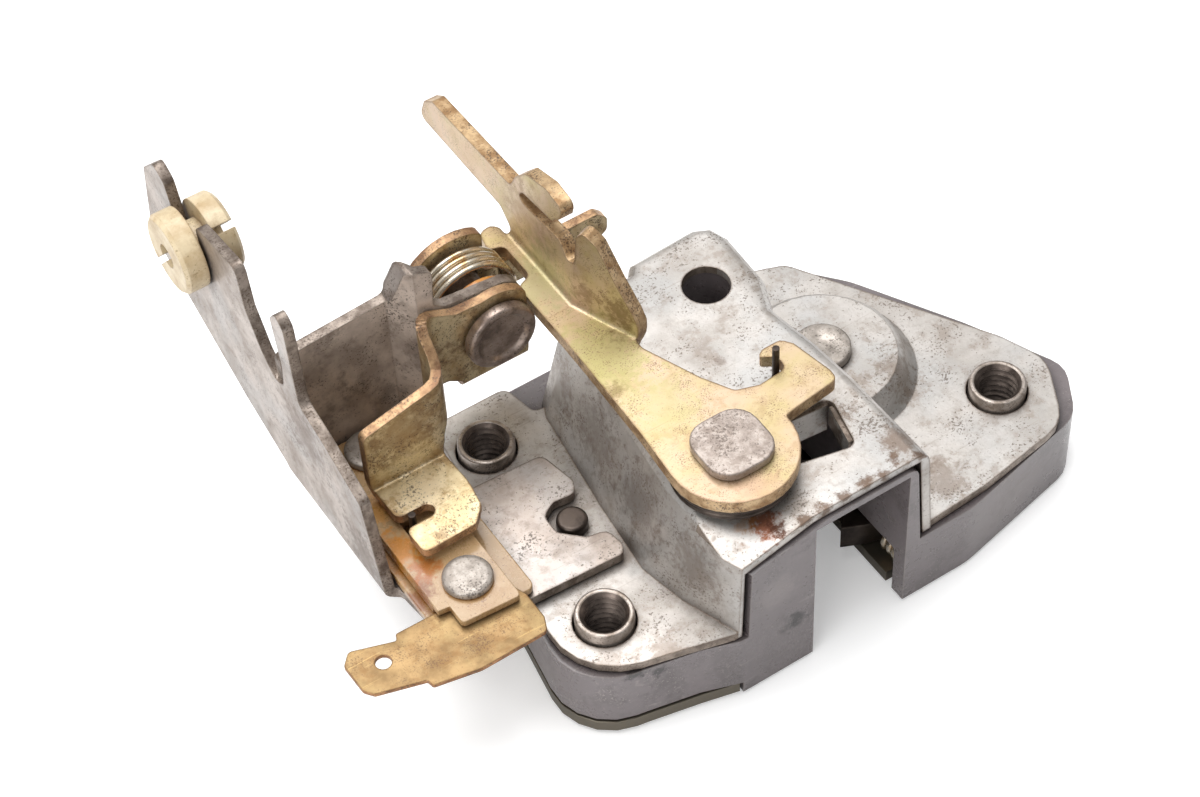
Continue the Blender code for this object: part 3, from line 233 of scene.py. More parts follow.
def finish(
    name,
    base,
    cloud,
    metallic,
    roughness,
    cloud_mm=6.0,
    cloud_run=(0.42, 0.62),
    tint=None,
    specks=None,
    stains=None,
    marks=(),
    worn=None,
    crevice=None,
    scratches=None,
    grain_mm=0.35,
    grain_depth=0.02,
    coat=0.0,
    transmission=0.0,
):
    """A surface of clouded colours with stains, marks in known places, scratches, specks and worn edges.

    base is a linear colour and every other colour a hex code. tint, specks and stains are (colour, size in
    mm, amount); a mark is (colour, centre in mm, reach in mm, strength); worn edges, and the darkening in a
    crevice that ambient occlusion finds, are (colour, width in mm, strength); scratches is (colour,
    strength).
    """
    made = bpy.data.materials.get(name)
    if made:
        return made
    made = bpy.data.materials.new(name)
    made.use_nodes = True
    tree = made.node_tree
    tree.nodes.clear()

    # A noise is where it is read, the size of its lumps in mm, its detail and its roughness
    place = add(tree, "ShaderNodeTexCoord").outputs["Object"]
    noises = {
        "clouds": (place, cloud_mm, 6.0, 0.6),
        "broken": (place, BROKEN_MM, 8.0, 0.7),
        "grain": (place, grain_mm, 4.0, 0.6),
    }
    if tint:
        aside = add(tree, "ShaderNodeMapping", {"Vector": place, "Location": (0.37, 0.11, 0.23)})
        noises["tint"] = (aside.outputs["Vector"], tint[1], 3.0, 0.6)
    if stains:
        noises["stains"] = (place, stains[1], 5.0, 0.65)
    if scratches:
        along = {"Vector": place, "Rotation": (0.3, 0.2, 0.9), "Scale": (90.0, 2400.0, 900.0)}
        drawn = add(tree, "ShaderNodeMapping", along).outputs["Vector"]
        noises["scratches"] = (drawn, 1 / MM, 2.0, 0.6)
    if specks:
        noises["specks"] = (place, specks[1], 2.0, 0.6)
        noises["swarms"] = (place, SWARM * specks[1], 3.0, 0.6)
    shape = {}
    for key, (where, size, detail, rough) in noises.items():
        inputs = {"Vector": where, "Scale": 1 / (size * MM), "Detail": detail, "Roughness": rough}
        shape[key] = add(tree, "ShaderNodeTexNoise", inputs).outputs["Fac"]
    broken = shape["broken"]

    # A layer is its value, a share of a second value that makes it ragged, the low and high ends of their
    # sum, and the strength and colour that it reaches at the high end
    layers = {"clouds": (shape["clouds"], 0.0, broken, *cloud_run, 1.0, cloud)}
    if tint:
        layers["tint"] = (shape["tint"], 0.0, broken, 0.45, 0.62, tint[2], tint[0])
    if stains:
        layers["stains"] = (broken, 1.5, shape["stains"], 1.25, 1.5, stains[2], stains[0])
    for code, centre, reach, strength in marks:
        ends = {0: place, 1: Vector(centre) * MM}
        away = add(tree, "ShaderNodeVectorMath", ends, operation="DISTANCE").outputs["Value"]
        far = reach * MM
        layers[centre] = (away, -4.0 * far, broken, -0.75 * far, -1.45 * far, strength, code)
    if scratches:
        layers["scratches"] = (shape["scratches"], 0.0, broken, 0.64, 0.74, scratches[1], scratches[0])
    if specks:
        low = 0.93 - specks[2]
        layers["specks"] = (shape["specks"], 0.55, shape["swarms"], low, low + 0.1, 0.8, specks[0])
    # Darker where ambient occlusion finds a corner or crevice
    if crevice:
        reach = {"Distance": crevice[1] * MM}
        hidden = add(tree, "ShaderNodeAmbientOcclusion", reach, samples=6).outputs["AO"]
        layers["crevice"] = (hidden, 0.5, broken, 1.08, 0.72, crevice[2], crevice[0])

    # Where the wide bevel turns away from the true surface, an edge is near
    relief = {"Height": shape["grain"], "Strength": 0.5, "Distance": grain_depth * MM}
    if worn:
        eased = add(tree, "ShaderNodeBevel", {"Radius": EASED_EDGE * MM}, samples=4).outputs["Normal"]
        relief["Normal"] = eased
        wide = add(tree, "ShaderNodeBevel", {"Radius": worn[1] * MM}, samples=6).outputs["Normal"]
        flat = add(tree, "ShaderNodeNewGeometry").outputs["Normal"]
        turn = add(tree, "ShaderNodeVectorMath", {0: wide, 1: flat}, operation="DOT_PRODUCT").outputs["Value"]
        layers["worn"] = (turn, 0.3, broken, 1.13, 1.0, worn[2], worn[0])
    bump = add(tree, "ShaderNodeBump", relief).outputs["Normal"]

    surface = (*base, 1.0)
    covered = {}
    for key, (value, share, other, low, high, most, code) in layers.items():
        parts = {0: other, 1: share, 2: value}
        total = add(tree, "ShaderNodeMath", parts, operation="MULTIPLY_ADD").outputs["Value"]
        run = {"Value": total, "From Min": low, "From Max": high, "To Max": most}
        covered[key] = add(tree, "ShaderNodeMapRange", run).outputs["Result"]
        mix = {"Factor": covered[key], "A": surface, "B": (*linear(code), 1.0)}
        surface = add(tree, "ShaderNodeMix", mix, data_type="RGBA").outputs["Result"]

    # A speck is dirt or rust, so it takes most of the metal away; the roughness varies about its value
    metal = metallic
    if specks and metallic > 0.0:
        run = {"Value": covered["specks"], "To Min": metallic, "To Max": 0.3 * metallic}
        metal = add(tree, "ShaderNodeMapRange", run).outputs["Result"]
    ends = {"From Min": 0.3, "From Max": 0.7, "To Min": roughness - 0.21, "To Max": roughness - 0.09}
    gloss = add(tree, "ShaderNodeMapRange", {"Value": shape["clouds"], **ends}).outputs["Result"]
    parts = {0: broken, 1: 0.3, 2: gloss}
    dull = add(tree, "ShaderNodeMath", parts, operation="MULTIPLY_ADD").outputs["Value"]
    inputs = {
        "Base Color": surface,
        "Metallic": metal,
        "Roughness": dull,
        "Normal": bump,
        "Coat Weight": coat,
        "Transmission Weight": transmission,
    }
    shader = add(tree, "ShaderNodeBsdfPrincipled", inputs).outputs["BSDF"]
    add(tree, "ShaderNodeOutputMaterial", {"Surface": shader})
    return made


def zinc_plate():
    """Clear-passivated zinc on pressed steel: milky grey peppered with brown, and a rust spot.

    It is darker in its corners, where ambient occlusion finds them, and the plating is worn off in a run
    along the slot's mouth.
    """
    colours = bpy.context.scene.tailgate_lock_colours
    mouth = (
        (-16.4, 0.6), (-8.0, 0.8), (-5.4, 0.7), (-2.6, 0.5), (0.6, 0.9), (3.2, 0.6), (5.6, 1.8), (8.4, 0.8)
    )
    return finish(
        "clear_passivated_zinc",
        colours.zinc,
        "#a7a19b",
        0.65,
        0.38,
        cloud_mm=9.0,
        tint=("#adaeae", 13.0, 0.5),
        specks=("#5a4c42", 0.3, 0.045),
        stains=("#85776b", 3.2, 0.5),
        marks=(
            *[("#5d4635", (x, y, HUMP_TOP - 0.2), 0.9, 0.85) for x, y in mouth],
            ("#7c3d14", (-12.2, 2.6, 27.2), 2.0, 0.9),
            ("#3d2011", (-11.2, 1.6, 27.0), 1.2, 0.85),
            ("#94683c", (-14.2, 4.2, 27.2), 1.5, 0.5),
            ("#6a5443", (7.9, 3.7, 27.2), 2.6, 0.6),
            ("#6d5a4a", (5.2, 11.0, 24.5), 2.6, 0.85),
            ("#8d8278", (8.7, 35.2, 27.2), 0.9, 0.7),
            ("#8d8278", (7.9, 32.9, 27.2), 0.7, 0.7),
            ("#7d7067", (-2.5, 25.8, 27.2), 0.7, 0.7),
            # Painted shade down the hump's left wall, which faces away from the light
            ("#72665d", (-19.5, 7.0, 20.0), 4.5, 0.5),
            ("#6e625a", (-19.8, 18.0, 20.0), 5.0, 0.5),
            ("#72665d", (-19.3, 30.0, 20.0), 5.0, 0.5),
            ("#7c7067", (-18.0, 40.0, 20.0), 4.0, 0.45),
            # Painted shade on the boss's lower right side and front shoulder, mixed with brown dirt
            ("#7b6d61", (20.5, 20.0, 14.6), 3.2, 0.55),
            ("#8a7d73", (12.6, 19.0, 15.4), 4.0, 0.45),
            ("#77675a", (16.0, 4.5, 12.5), 3.2, 0.6),
            ("#77675a", (13.0, 9.0, 12.5), 2.6, 0.6),
            ("#8b7d72", (-26.0, 3.2, 12.5), 2.4, 0.6),
            ("#8b7d72", (-32.4, 6.0, 12.5), 2.4, 0.5),
        ),
        worn=("#6b5848", 0.5, 0.7),
        crevice=("#4d4239", 3.0, 0.75),
        scratches=("#8f857c", 0.4),
        grain_mm=0.5,
        grain_depth=0.04,
    )


def moulded_plastic():
    """Glass-filled nylon, injection moulded: satin charcoal with dusty smears and fine scuffs."""
    colours = bpy.context.scene.tailgate_lock_colours
    return finish(
        "black_glass_filled_nylon",
        colours.plastic,
        "#6f6768",
        0.0,
        0.3,
        cloud_mm=12.0,
        cloud_run=(0.46, 0.66),
        specks=("#958c88", 0.25, 0.01),
        stains=("#3f3837", 7.0, 0.45),
        marks=(
            ("#171312", (-9.6, 0.0, 9.0), 1.6, 0.8),
            ("#171312", (-30.0, 3.0, 11.0), 1.4, 0.8),
            ("#171312", (-27.5, 2.6, 9.6), 0.9, 0.8),
            ("#8d8482", (-12.5, 0.0, 17.0), 2.6, 0.4),
            ("#857c7a", (24.0, 1.0, 6.0), 6.0, 0.35),
        ),
        worn=("#8d8480", 0.3, 0.6),
        crevice=("#1d1817", 2.0, 0.6),
        scratches=("#a29a95", 0.3),
        grain_mm=0.6,
        grain_depth=0.02,
        coat=0.25,
    )


def phosphated_plate():
    """Phosphated steel plate: dull olive-grey, brown where it has worn."""
    return finish(
        "phosphated_steel",
        linear("#877868"),
        "#665849",
        0.45,
        0.5,
        specks=("#3d332a", 0.5, 0.04),
        stains=("#4d4035", 5.0, 0.5),
        worn=("#a3917c", 0.3, 0.6),
    )


def bright_steel():
    """Free-cutting steel, turned and zinc plated: grey and bright, browned on the rims."""
    return finish(
        "turned_plated_steel",
        linear("#b3a9a1"),
        "#8d8278",
        0.8,
        0.34,
        cloud_mm=2.5,
        specks=("#5f5248", 0.25, 0.07),
        stains=("#6d5f53", 2.5, 0.5),
        worn=("#6d5f54", 0.2, 0.6),
    )


def painted_shade_thread_steel():
    """Cut thread in the bush's bore: dark brown-grey, the painted shade inside the bore, brighter on its
    crests.
    """
    return finish(
        "painted_shade_cut_thread",
        linear("#675c55"),
        "#433a35",
        0.8,
        0.36,
        cloud_mm=2.0,
        worn=("#b0a49a", 0.15, 0.7),
    )


def rivet_steel():
    """Upset rivet steel with white zinc: ivory-grey faces, dark pits in the plating."""
    return finish(
        "white_zinc_rivet_steel",
        linear("#aca49c"),
        "#8c847c",
        0.55,
        0.42,
        cloud_mm=1.6,
        specks=("#544b44", 0.3, 0.08),
        stains=("#8a8077", 2.0, 0.5),
        worn=("#6b6058", 0.25, 0.6),
        grain_mm=0.6,
        grain_depth=0.09,
    )


def yellow_zinc():
    """Yellow-chromated zinc: straw gold with greenish and rosy clouds, brown specks and edges."""
    colours = bpy.context.scene.tailgate_lock_colours
    return finish(
        "yellow_chromated_zinc",
        colours.gold,
        "#b9a87c",
        0.65,
        0.38,
        cloud_mm=5.0,
        cloud_run=(0.40, 0.60),
        tint=("#c4a896", 8.0, 0.5),
        specks=("#6a4c33", 0.2, 0.06),
        stains=("#9c8058", 3.0, 0.4),
        marks=(
            ("#aba56f", (-16.0, 31.0, 31.8), 6.0, 0.7),
            ("#b2aa7c", (-13.6, 21.0, 31.8), 4.0, 0.55),
            ("#6f5338", (-17.6, 26.0, 31.0), 1.6, 0.5),
            ("#b08f76", (-12.0, 4.5, 31.8), 3.0, 0.5),
            ("#866a49", (-13.4, 50.0, 39.0), 5.0, 0.4),
            ("#6f5237", (-12.6, 33.5, 34.6), 2.6, 0.7),
            ("#6f5237", (-12.2, 39.0, 34.8), 2.2, 0.6),
            ("#a3a37a", (-16.0, 46.0, 31.8), 5.0, 0.5),
            ("#d3b89c", (-14.0, 64.0, 38.0), 7.0, 0.5),
        ),
        worn=("#74553a", 0.6, 0.8),
        scratches=("#8e7350", 0.3),
    )


def carrier_steel():
    """Bare cold-rolled steel, oiled: warm mottled grey, brown where the oil has dried and along its edges."""
    colours = bpy.context.scene.tailgate_lock_colours
    return finish(
        "oiled_cold_rolled_steel",
        colours.carrier,
        "#94887f",
        0.75,
        0.38,
        cloud_mm=6.0,
        tint=("#a9a7a6", 9.0, 0.5),
        specks=("#4d433c", 0.3, 0.05),
        stains=("#74665b", 2.0, 0.4),
        marks=(
            ("#6a5b52", (-49.0, 44.0, 28.0), 5.0, 0.5),
            ("#5d5048", (-49.0, 32.0, 17.0), 5.0, 0.55),
            ("#5d5048", (-49.0, 22.0, 20.0), 3.5, 0.5),
        ),
        worn=("#665950", 0.6, 0.75),
        crevice=("#443a33", 2.5, 0.6),
        scratches=("#6a5e55", 0.4),
    )


def painted_shade_steel():
    """The same steel toned for the web's front face: dark brown-grey with a soft gloss, partly painted shade
    and a painted reflection of the switch.
    """
    return finish(
        "painted_shade_cold_rolled_steel",
        linear("#c8b8ab"),
        "#9a8b80",
        0.25,
        0.4,
        cloud_mm=7.0,
        specks=("#2e2622", 0.3, 0.05),
        stains=("#54483f", 5.0, 0.5),
        worn=("#7d7067", 0.5, 0.6),
        scratches=("#a0927f", 0.35),
    )


def bronze_steel():
    """Spring steel with an olive-bronze passivate: brown upright faces, and a pale straw foot."""
    colours = bpy.context.scene.tailgate_lock_colours
    return finish(
        "bronze_passivated_steel",
        colours.bronze,
        "#b59a70",
        0.7,
        0.36,
        cloud_mm=4.0,
        specks=("#4a3627", 0.26, 0.07),
        stains=("#866844", 3.5, 0.5),
        marks=(
            ("#7c5f44", (-40.0, 38.5, 28.0), 5.0, 0.55),
            ("#7c5f44", (-32.0, 41.0, 30.0), 4.0, 0.5),
            ("#7a614a", (-23.0, 43.8, 30.0), 6.0, 0.5),
            ("#ecdcbb", (-40.4, 34.4, 20.4), 3.6, 0.75),
            ("#e8d6ac", (-37.6, 29.6, 20.4), 3.0, 0.6),
            ("#6a4b30", (-41.5, 27.4, 20.4), 1.3, 0.6),
        ),
        worn=("#8b6a48", 0.55, 0.7),
        scratches=("#5f4a34", 0.3),
    )


def dark_steel():
    """Oil-blacked spring steel: nearly black with a soft brown gloss."""
    return finish(
        "oil_blacked_spring_steel",
        linear("#4a413b"),
        "#312a26",
        0.8,
        0.36,
        cloud_mm=3.0,
        worn=("#77695d", 0.2, 0.5),
    )


def pin_steel():
    """Hardened pin steel: dark brown-grey, rubbed straw-bright on its rims."""
    return finish(
        "hardened_pin_steel",
        linear("#a39389"),
        "#6f6159",
        0.75,
        0.34,
        cloud_mm=3.0,
        specks=("#3a302a", 0.3, 0.06),
        stains=("#5b4b40", 2.5, 0.5),
        worn=("#c0aa8a", 0.25, 0.7),
    )


def stud_steel():
    """Peened stud steel under clear zinc: dull rosy grey, pitted, browned at the rim."""
    return finish(
        "peened_stud_steel",
        linear("#afa49c"),
        "#92867e",
        0.65,
        0.42,
        cloud_mm=2.0,
        specks=("#5f5249", 0.28, 0.09),
        stains=("#7f7167", 2.2, 0.55),
        worn=("#6d5b4c", 0.45, 0.7),
        grain_mm=0.7,
        grain_depth=0.1,
    )


def greased_wire():
    """Bright drawn spring wire with a film of amber grease."""
    return finish(
        "greased_spring_wire",
        linear("#cfc5b3"),
        "#b98f52",
        0.9,
        0.24,
        cloud_mm=2.5,
        cloud_run=(0.5, 0.68),
        coat=0.5,
        grain_depth=0.005,
    )


def tan_nylon():
    """Natural nylon, aged and greased: translucent tan with a wet gloss and amber grease by the arm."""
    colours = bpy.context.scene.tailgate_lock_colours
    return finish(
        "aged_natural_nylon",
        colours.nylon,
        "#b3936a",
        0.0,
        0.28,
        cloud_mm=5.0,
        cloud_run=(0.38, 0.66),
        specks=("#7a5334", 0.3, 0.01),
        stains=("#a37c50", 4.0, 0.5),
        marks=(
            ("#7d4412", (-47.0, 24.0, 16.6), 2.2, 0.9),
            ("#b97516", (-46.6, 30.0, 17.8), 3.0, 0.9),
            ("#a45a10", (-45.0, 26.0, 17.8), 1.8, 0.8),
            ("#c98a2e", (-45.4, 37.0, 17.8), 2.4, 0.6),
        ),
        worn=("#d9c4a2", 0.25, 0.5),
        crevice=("#8a5a26", 1.5, 0.7),
        coat=0.35,
        transmission=0.12,
    )


def amber_nylon():
    """Amber nylon washer under a film of grease."""
    return finish(
        "greased_amber_nylon", linear("#c98d45"), "#a5662a", 0.0, 0.28, cloud_mm=2.0, coat=0.5
    )


def ivory_nylon():
    """Natural nylon, newer: ivory, a little yellowed, its rims and slits edged brown."""
    colours = bpy.context.scene.tailgate_lock_colours
    return finish(
        "ivory_natural_nylon",
        colours.clip,
        "#bda57e",
        0.0,
        0.4,
        cloud_mm=4.0,
        specks=("#8f7754", 0.3, 0.01),
        stains=("#a88d66", 3.0, 0.45),
        worn=("#977853", 0.25, 0.6),
        crevice=("#7d6140", 1.2, 0.7),
        transmission=0.1,
    )


def brass_strip():
    """Stamped brass strip: dull yellow, browned in clouds and at the sheared edges."""
    colours = bpy.context.scene.tailgate_lock_colours
    return finish(
        "stamped_brass",
        colours.brass,
        "#7d6442",
        0.65,
        0.4,
        cloud_mm=3.5,
        tint=("#98835a", 4.0, 0.5),
        specks=("#614527", 0.22, 0.06),
        stains=("#805f3a", 3.0, 0.6),
        worn=("#674829", 0.4, 0.8),
        scratches=("#c5a870", 0.35),
    )


def sheared_edge(name, base, cloud):
    """A sheet's sheared edge: bare metal browned by air and handling, with fine drag lines."""
    return finish(
        name,
        linear(base),
        cloud,
        0.6,
        0.42,
        cloud_mm=2.0,
        specks=("#463628", 0.25, 0.08),
        stains=(cloud, 1.5, 0.6),
        worn=("#c4b7a4", 0.12, 0.4),
        grain_mm=0.3,
        grain_depth=0.05,
    )


# Modelling


def deselect():
    """Leaves nothing selected."""
    for obj in bpy.context.selected_objects:
        obj.select_set(False)


def apply_modifiers(piece):
    """Makes a piece's modifiers part of its mesh, in their order."""
    deselect()
    piece.select_set(True)
    bpy.context.view_layer.objects.active = piece
    for modifier in list(piece.modifiers):
        bpy.ops.object.modifier_apply(modifier=modifier.name)


def shade(piece, angle):
    """Shades a piece smooth but for edges sharper than an angle in degrees."""
    deselect()
    piece.select_set(True)
    bpy.context.view_layer.objects.active = piece
    bpy.ops.object.shade_smooth_by_angle(angle=math.radians(angle))


def dress(node, material, edge, segments=2, angle=34.0, smooth=34.0):
    """Stands a copy of a solid in its place, with its triangles joined into faces and its edges rounded."""
    deselect()
    source = frame["nodes"][node]
    source.select_set(True)
    bpy.context.view_layer.objects.active = source
    bpy.ops.object.duplicate()
    piece = bpy.context.object
    piece.parent = None
    piece.name = f"{node}_surface"
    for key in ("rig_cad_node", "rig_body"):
        if key in piece:
            del piece[key]
    bpy.ops.object.mode_set(mode="EDIT")
    bpy.ops.mesh.select_all(action="SELECT")
    bpy.ops.mesh.remove_doubles(threshold=WELD)
    bpy.ops.mesh.dissolve_limited(angle_limit=math.radians(0.6))
    bpy.ops.object.mode_set(mode="OBJECT")
    if edge > 0.0:
        rounding = piece.modifiers.new("Edges", "BEVEL")
        rounding.width = edge
        rounding.segments = segments
        rounding.limit_method = "ANGLE"
        rounding.angle_limit = math.radians(angle)
        rounding.use_clamp_overlap = True
        apply_modifiers(piece)
    shade(piece, smooth)
    flat = piece.modifiers.new("Flat faces", "WEIGHTED_NORMAL")
    flat.keep_sharp = True
    apply_modifiers(piece)
    piece.data.materials.clear()
    piece.data.materials.append(material)
    settle(piece, node)
    return piece


def settle(piece, node):
    """Puts a finished piece on its solid's body and in the solid's place."""
    body = frame["nodes"][node]["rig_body"]
    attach(piece, body)
    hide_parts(node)


def paint(piece, material, chosen):
    """Gives the faces that a test picks, by centre in mm and normal, a second finish."""
    piece.data.materials.append(material)
    index = len(piece.data.materials) - 1
    for face in piece.data.polygons:
        if chosen(face.center / MM, face.normal):
            face.material_index = index


def shear(piece, material, gauge, spared=None):
    """Gives a sheet's cut edges a second finish: small faces with more metal behind them than its gauge.

    spared is a centre and a reach in mm, within which no face is a cut edge.
    """
    bpy.context.view_layer.update()
    piece.data.materials.append(material)
    index = len(piece.data.materials) - 1
    for face in piece.data.polygons:
        inwards = -face.normal
        hit, place, _, _ = piece.ray_cast(face.center + inwards * 10 * WELD, inwards)
        deep = hit and (place - face.center).length > 1.25 * gauge * MM
        kept = spared and (face.center.xy / MM - Vector(spared[0])).length < spared[1]
        if deep and not kept and face.area < LARGEST_EDGE_FACE * MM * MM:
            face.material_index = index


def turned_piece(name, profile, centre):
    """A turned piece: a circle drawn out ring by ring up its profile in mm, and closed on itself."""
    parts = bpy.context.scene.tailgate_lock_sizes.round_parts
    deselect()
    radius, height = profile[0]
    bpy.ops.mesh.primitive_circle_add(vertices=parts, radius=radius * MM, location=(0.0, 0.0, height * MM))
    piece = bpy.context.object
    piece.name = name
    bpy.ops.object.transform_apply(location=True, rotation=True, scale=True)
    bpy.ops.object.mode_set(mode="EDIT")
    bpy.ops.mesh.select_all(action="SELECT")
    for (radius, height), (wider, higher) in zip(profile, profile[1:]):
        bpy.ops.mesh.extrude_edges_move(TRANSFORM_OT_translate={"value": (0.0, 0.0, (higher - height) * MM)})
        factor = wider / radius
        bpy.ops.transform.resize(value=(factor, factor, 1.0), center_override=(0.0, 0.0, 0.0))
    bpy.ops.mesh.select_all(action="DESELECT")
    bpy.ops.mesh.select_non_manifold(extend=False)
    if profile[0][0] > AXIS_RING and profile[-1][0] > AXIS_RING:
        bpy.ops.mesh.bridge_edge_loops()
    else:
        bpy.ops.mesh.edge_face_add()
    bpy.ops.mesh.select_all(action="SELECT")
    bpy.ops.mesh.normals_make_consistent(inside=False)
    bpy.ops.transform.translate(value=(centre[0] * MM, centre[1] * MM, 0.0))
    bpy.ops.object.mode_set(mode="OBJECT")
    return piece


def wire_piece(name, points, radius, resolution=6):
    """A round wire along points in mm: a path given its thickness, then made a mesh."""
    deselect()
    bpy.ops.curve.primitive_nurbs_path_add(location=(0.0, 0.0, 0.0))
    path = bpy.context.object
    path.name = name
    curve = path.data
    curve.splines.remove(curve.splines[0])
    line = curve.splines.new("POLY")
    line.points.add(len(points) - 1)
    for slot, point in zip(line.points, points):
        slot.co = (point[0] * MM, point[1] * MM, point[2] * MM, 1.0)
    curve.bevel_depth = radius * MM
    curve.bevel_resolution = resolution
    curve.use_fill_caps = True
    bpy.ops.object.convert(target="MESH")
    piece = bpy.context.object
    bpy.ops.object.mode_set(mode="EDIT")
    bpy.ops.mesh.select_all(action="SELECT")
    bpy.ops.mesh.remove_doubles(threshold=WELD)
    bpy.ops.mesh.normals_make_consistent(inside=False)
    bpy.ops.object.mode_set(mode="OBJECT")
    shade(piece, 60.0)
    return piece


def rounded_path(points, radius, steps=6):
    """A path with its corners drawn as arcs, in mm."""
    points = [Vector(p) for p in points]
    path = [points[0]]
    for before, here, after in zip(points, points[1:], points[2:]):
        back = (before - here).normalized()
        ahead = (after - here).normalized()
        reach = min(radius, 0.45 * (before - here).length, 0.45 * (after - here).length)
        for step in range(steps + 1):
            share = step / steps
            path.append((here + back * reach * (1 - share)).lerp(here + ahead * reach * share, share))
    path.append(points[-1])
    return path


def coil(centre, radius, low, high, turns, start, parts=40):
    """A coil's points in mm, from a start angle in degrees, with this many parts to a turn."""
    points = []
    steps = round(parts * turns)
    for step in range(steps + 1):
        angle = math.radians(start) + 2 * math.pi * step / parts
        height = low + (high - low) * step / steps
        x = centre[0] + radius * math.cos(angle)
        y = centre[1] + radius * math.sin(angle)
        points.append(Vector((x, y, height)))
    return points


# Operators


class TAILGATELOCK_OT_stage(Operator):
    """Pale floor, soft light and the camera"""

    bl_idname = "tailgate_lock.stage"
    bl_label = "Stage"

    def execute(self, context):
        scene = context.scene
        deselect()
        bpy.ops.mesh.primitive_plane_add(size=FLOOR_SIZE, location=(0.0, 0.0, -FLOOR_DROP))
        floor = context.object
        floor.name = "floor"
        bpy.ops.object.transform_apply(location=True, rotation=True, scale=True)
        paper = bpy.data.materials.new("white_paper")
        paper.use_nodes = True
        tree = paper.node_tree
        tree.nodes.clear()
        # The paper glows a little for the camera alone, so that it comes out white
        seen = add(tree, "ShaderNodeLightPath").outputs["Is Camera Ray"]
        matt = add(tree, "ShaderNodeBsdfDiffuse", {"Color": (0.86, 0.86, 0.86, 1.0)}).outputs["BSDF"]
        lit = {"Color": (1.0, 1.0, 1.0, 1.0), "Strength": 0.28}
        glow = add(tree, "ShaderNodeEmission", lit).outputs["Emission"]
        both = add(tree, "ShaderNodeAddShader", {0: matt, 1: glow}).outputs["Shader"]
        lift = add(tree, "ShaderNodeMixShader", {0: seen, 1: matt, 2: both}).outputs["Shader"]
        add(tree, "ShaderNodeOutputMaterial", {"Surface": lift})
        floor.data.materials.append(paper)

        world = bpy.data.worlds.new("studio")
        scene.world = world
        world.use_nodes = True
        tree = world.node_tree
        tree.nodes.clear()
        # The sky brightens towards a point high behind the lock, and the camera sees plain white
        toward = add(tree, "ShaderNodeTexCoord").outputs["Generated"]
        ends = {0: toward, 1: (-0.12, 0.34, 1.0)}
        rise = add(tree, "ShaderNodeVectorMath", ends, operation="DOT_PRODUCT").outputs["Value"]
        run = {"Value": rise, "From Min": -0.2, "From Max": 0.8}
        height = add(tree, "ShaderNodeMapRange", run).outputs["Result"]
        mix = {"Factor": height, "A": (0.16, 0.155, 0.15, 1.0), "B": (1.0, 1.0, 1.0, 1.0)}
        sky = add(tree, "ShaderNodeMix", mix, data_type="RGBA").outputs["Result"]
        light = add(tree, "ShaderNodeBackground", {"Color": sky, "Strength": 0.72}).outputs["Background"]
        white = add(tree, "ShaderNodeBackground", {"Color": (1.0, 1.0, 1.0, 1.0)}).outputs["Background"]
        seen = add(tree, "ShaderNodeLightPath").outputs["Is Camera Ray"]
        shown = add(tree, "ShaderNodeMixShader", {0: seen, 1: light, 2: white}).outputs["Shader"]
        add(tree, "ShaderNodeOutputWorld", {"Surface": shown})

        # Each lamp has its place and size in metres, and its power in watts
        for name, place, size, power in (
            ("overhead", (-0.05, 0.25, 0.75), 0.7, 7.0),
            ("side_fill", (-0.7, -0.35, 0.45), 0.5, 3.6),
        ):
            lamp = bpy.data.lights.new(name, "AREA")
            lamp.size = size
            lamp.energy = power
            holder = bpy.data.objects.new(name, lamp)
            holder.location = place
            aim = Vector((0.0, 0.03, 0.01)) - Vector(place)
            holder.rotation_euler = aim.to_track_quat("-Z", "Y").to_euler()
            scene.collection.objects.link(holder)

        camera = bpy.data.cameras.new("camera")
        camera.sensor_width = 36.0
        camera.lens = CAMERA_LENS
        camera.clip_start = 0.01
        holder = bpy.data.objects.new("camera", camera)
        holder.location = Vector(CAMERA_PLACE) * MM
        holder.rotation_euler = [math.radians(turn) for turn in CAMERA_TURN]
        scene.collection.objects.link(holder)
        scene.camera = holder
        scene.view_settings.view_transform = "Standard"
        return {"FINISHED"}


class TAILGATELOCK_OT_body(Operator):
    """Housing, bottom plate and cover"""

    bl_idname = "tailgate_lock.body"
    bl_label = "Body"

    def execute(self, context):
        sizes = context.scene.tailgate_lock_sizes
        dress("housing", moulded_plastic(), sizes.moulded_edge, segments=3)
        dress("bottom_plate", phosphated_plate(), sizes.plate_edge)
        cover = dress("cover_plate", zinc_plate(), sizes.cover_edge, segments=3, angle=28.0, smooth=48.0)
        edge = sheared_edge("zinc_plate_sheared_edge", "#8f8277", "#665a50")
        shear(cover, edge, COVER_SHEET, spared=(FORK_PIVOT, BOSS_FOOT))
        return {"FINISHED"}


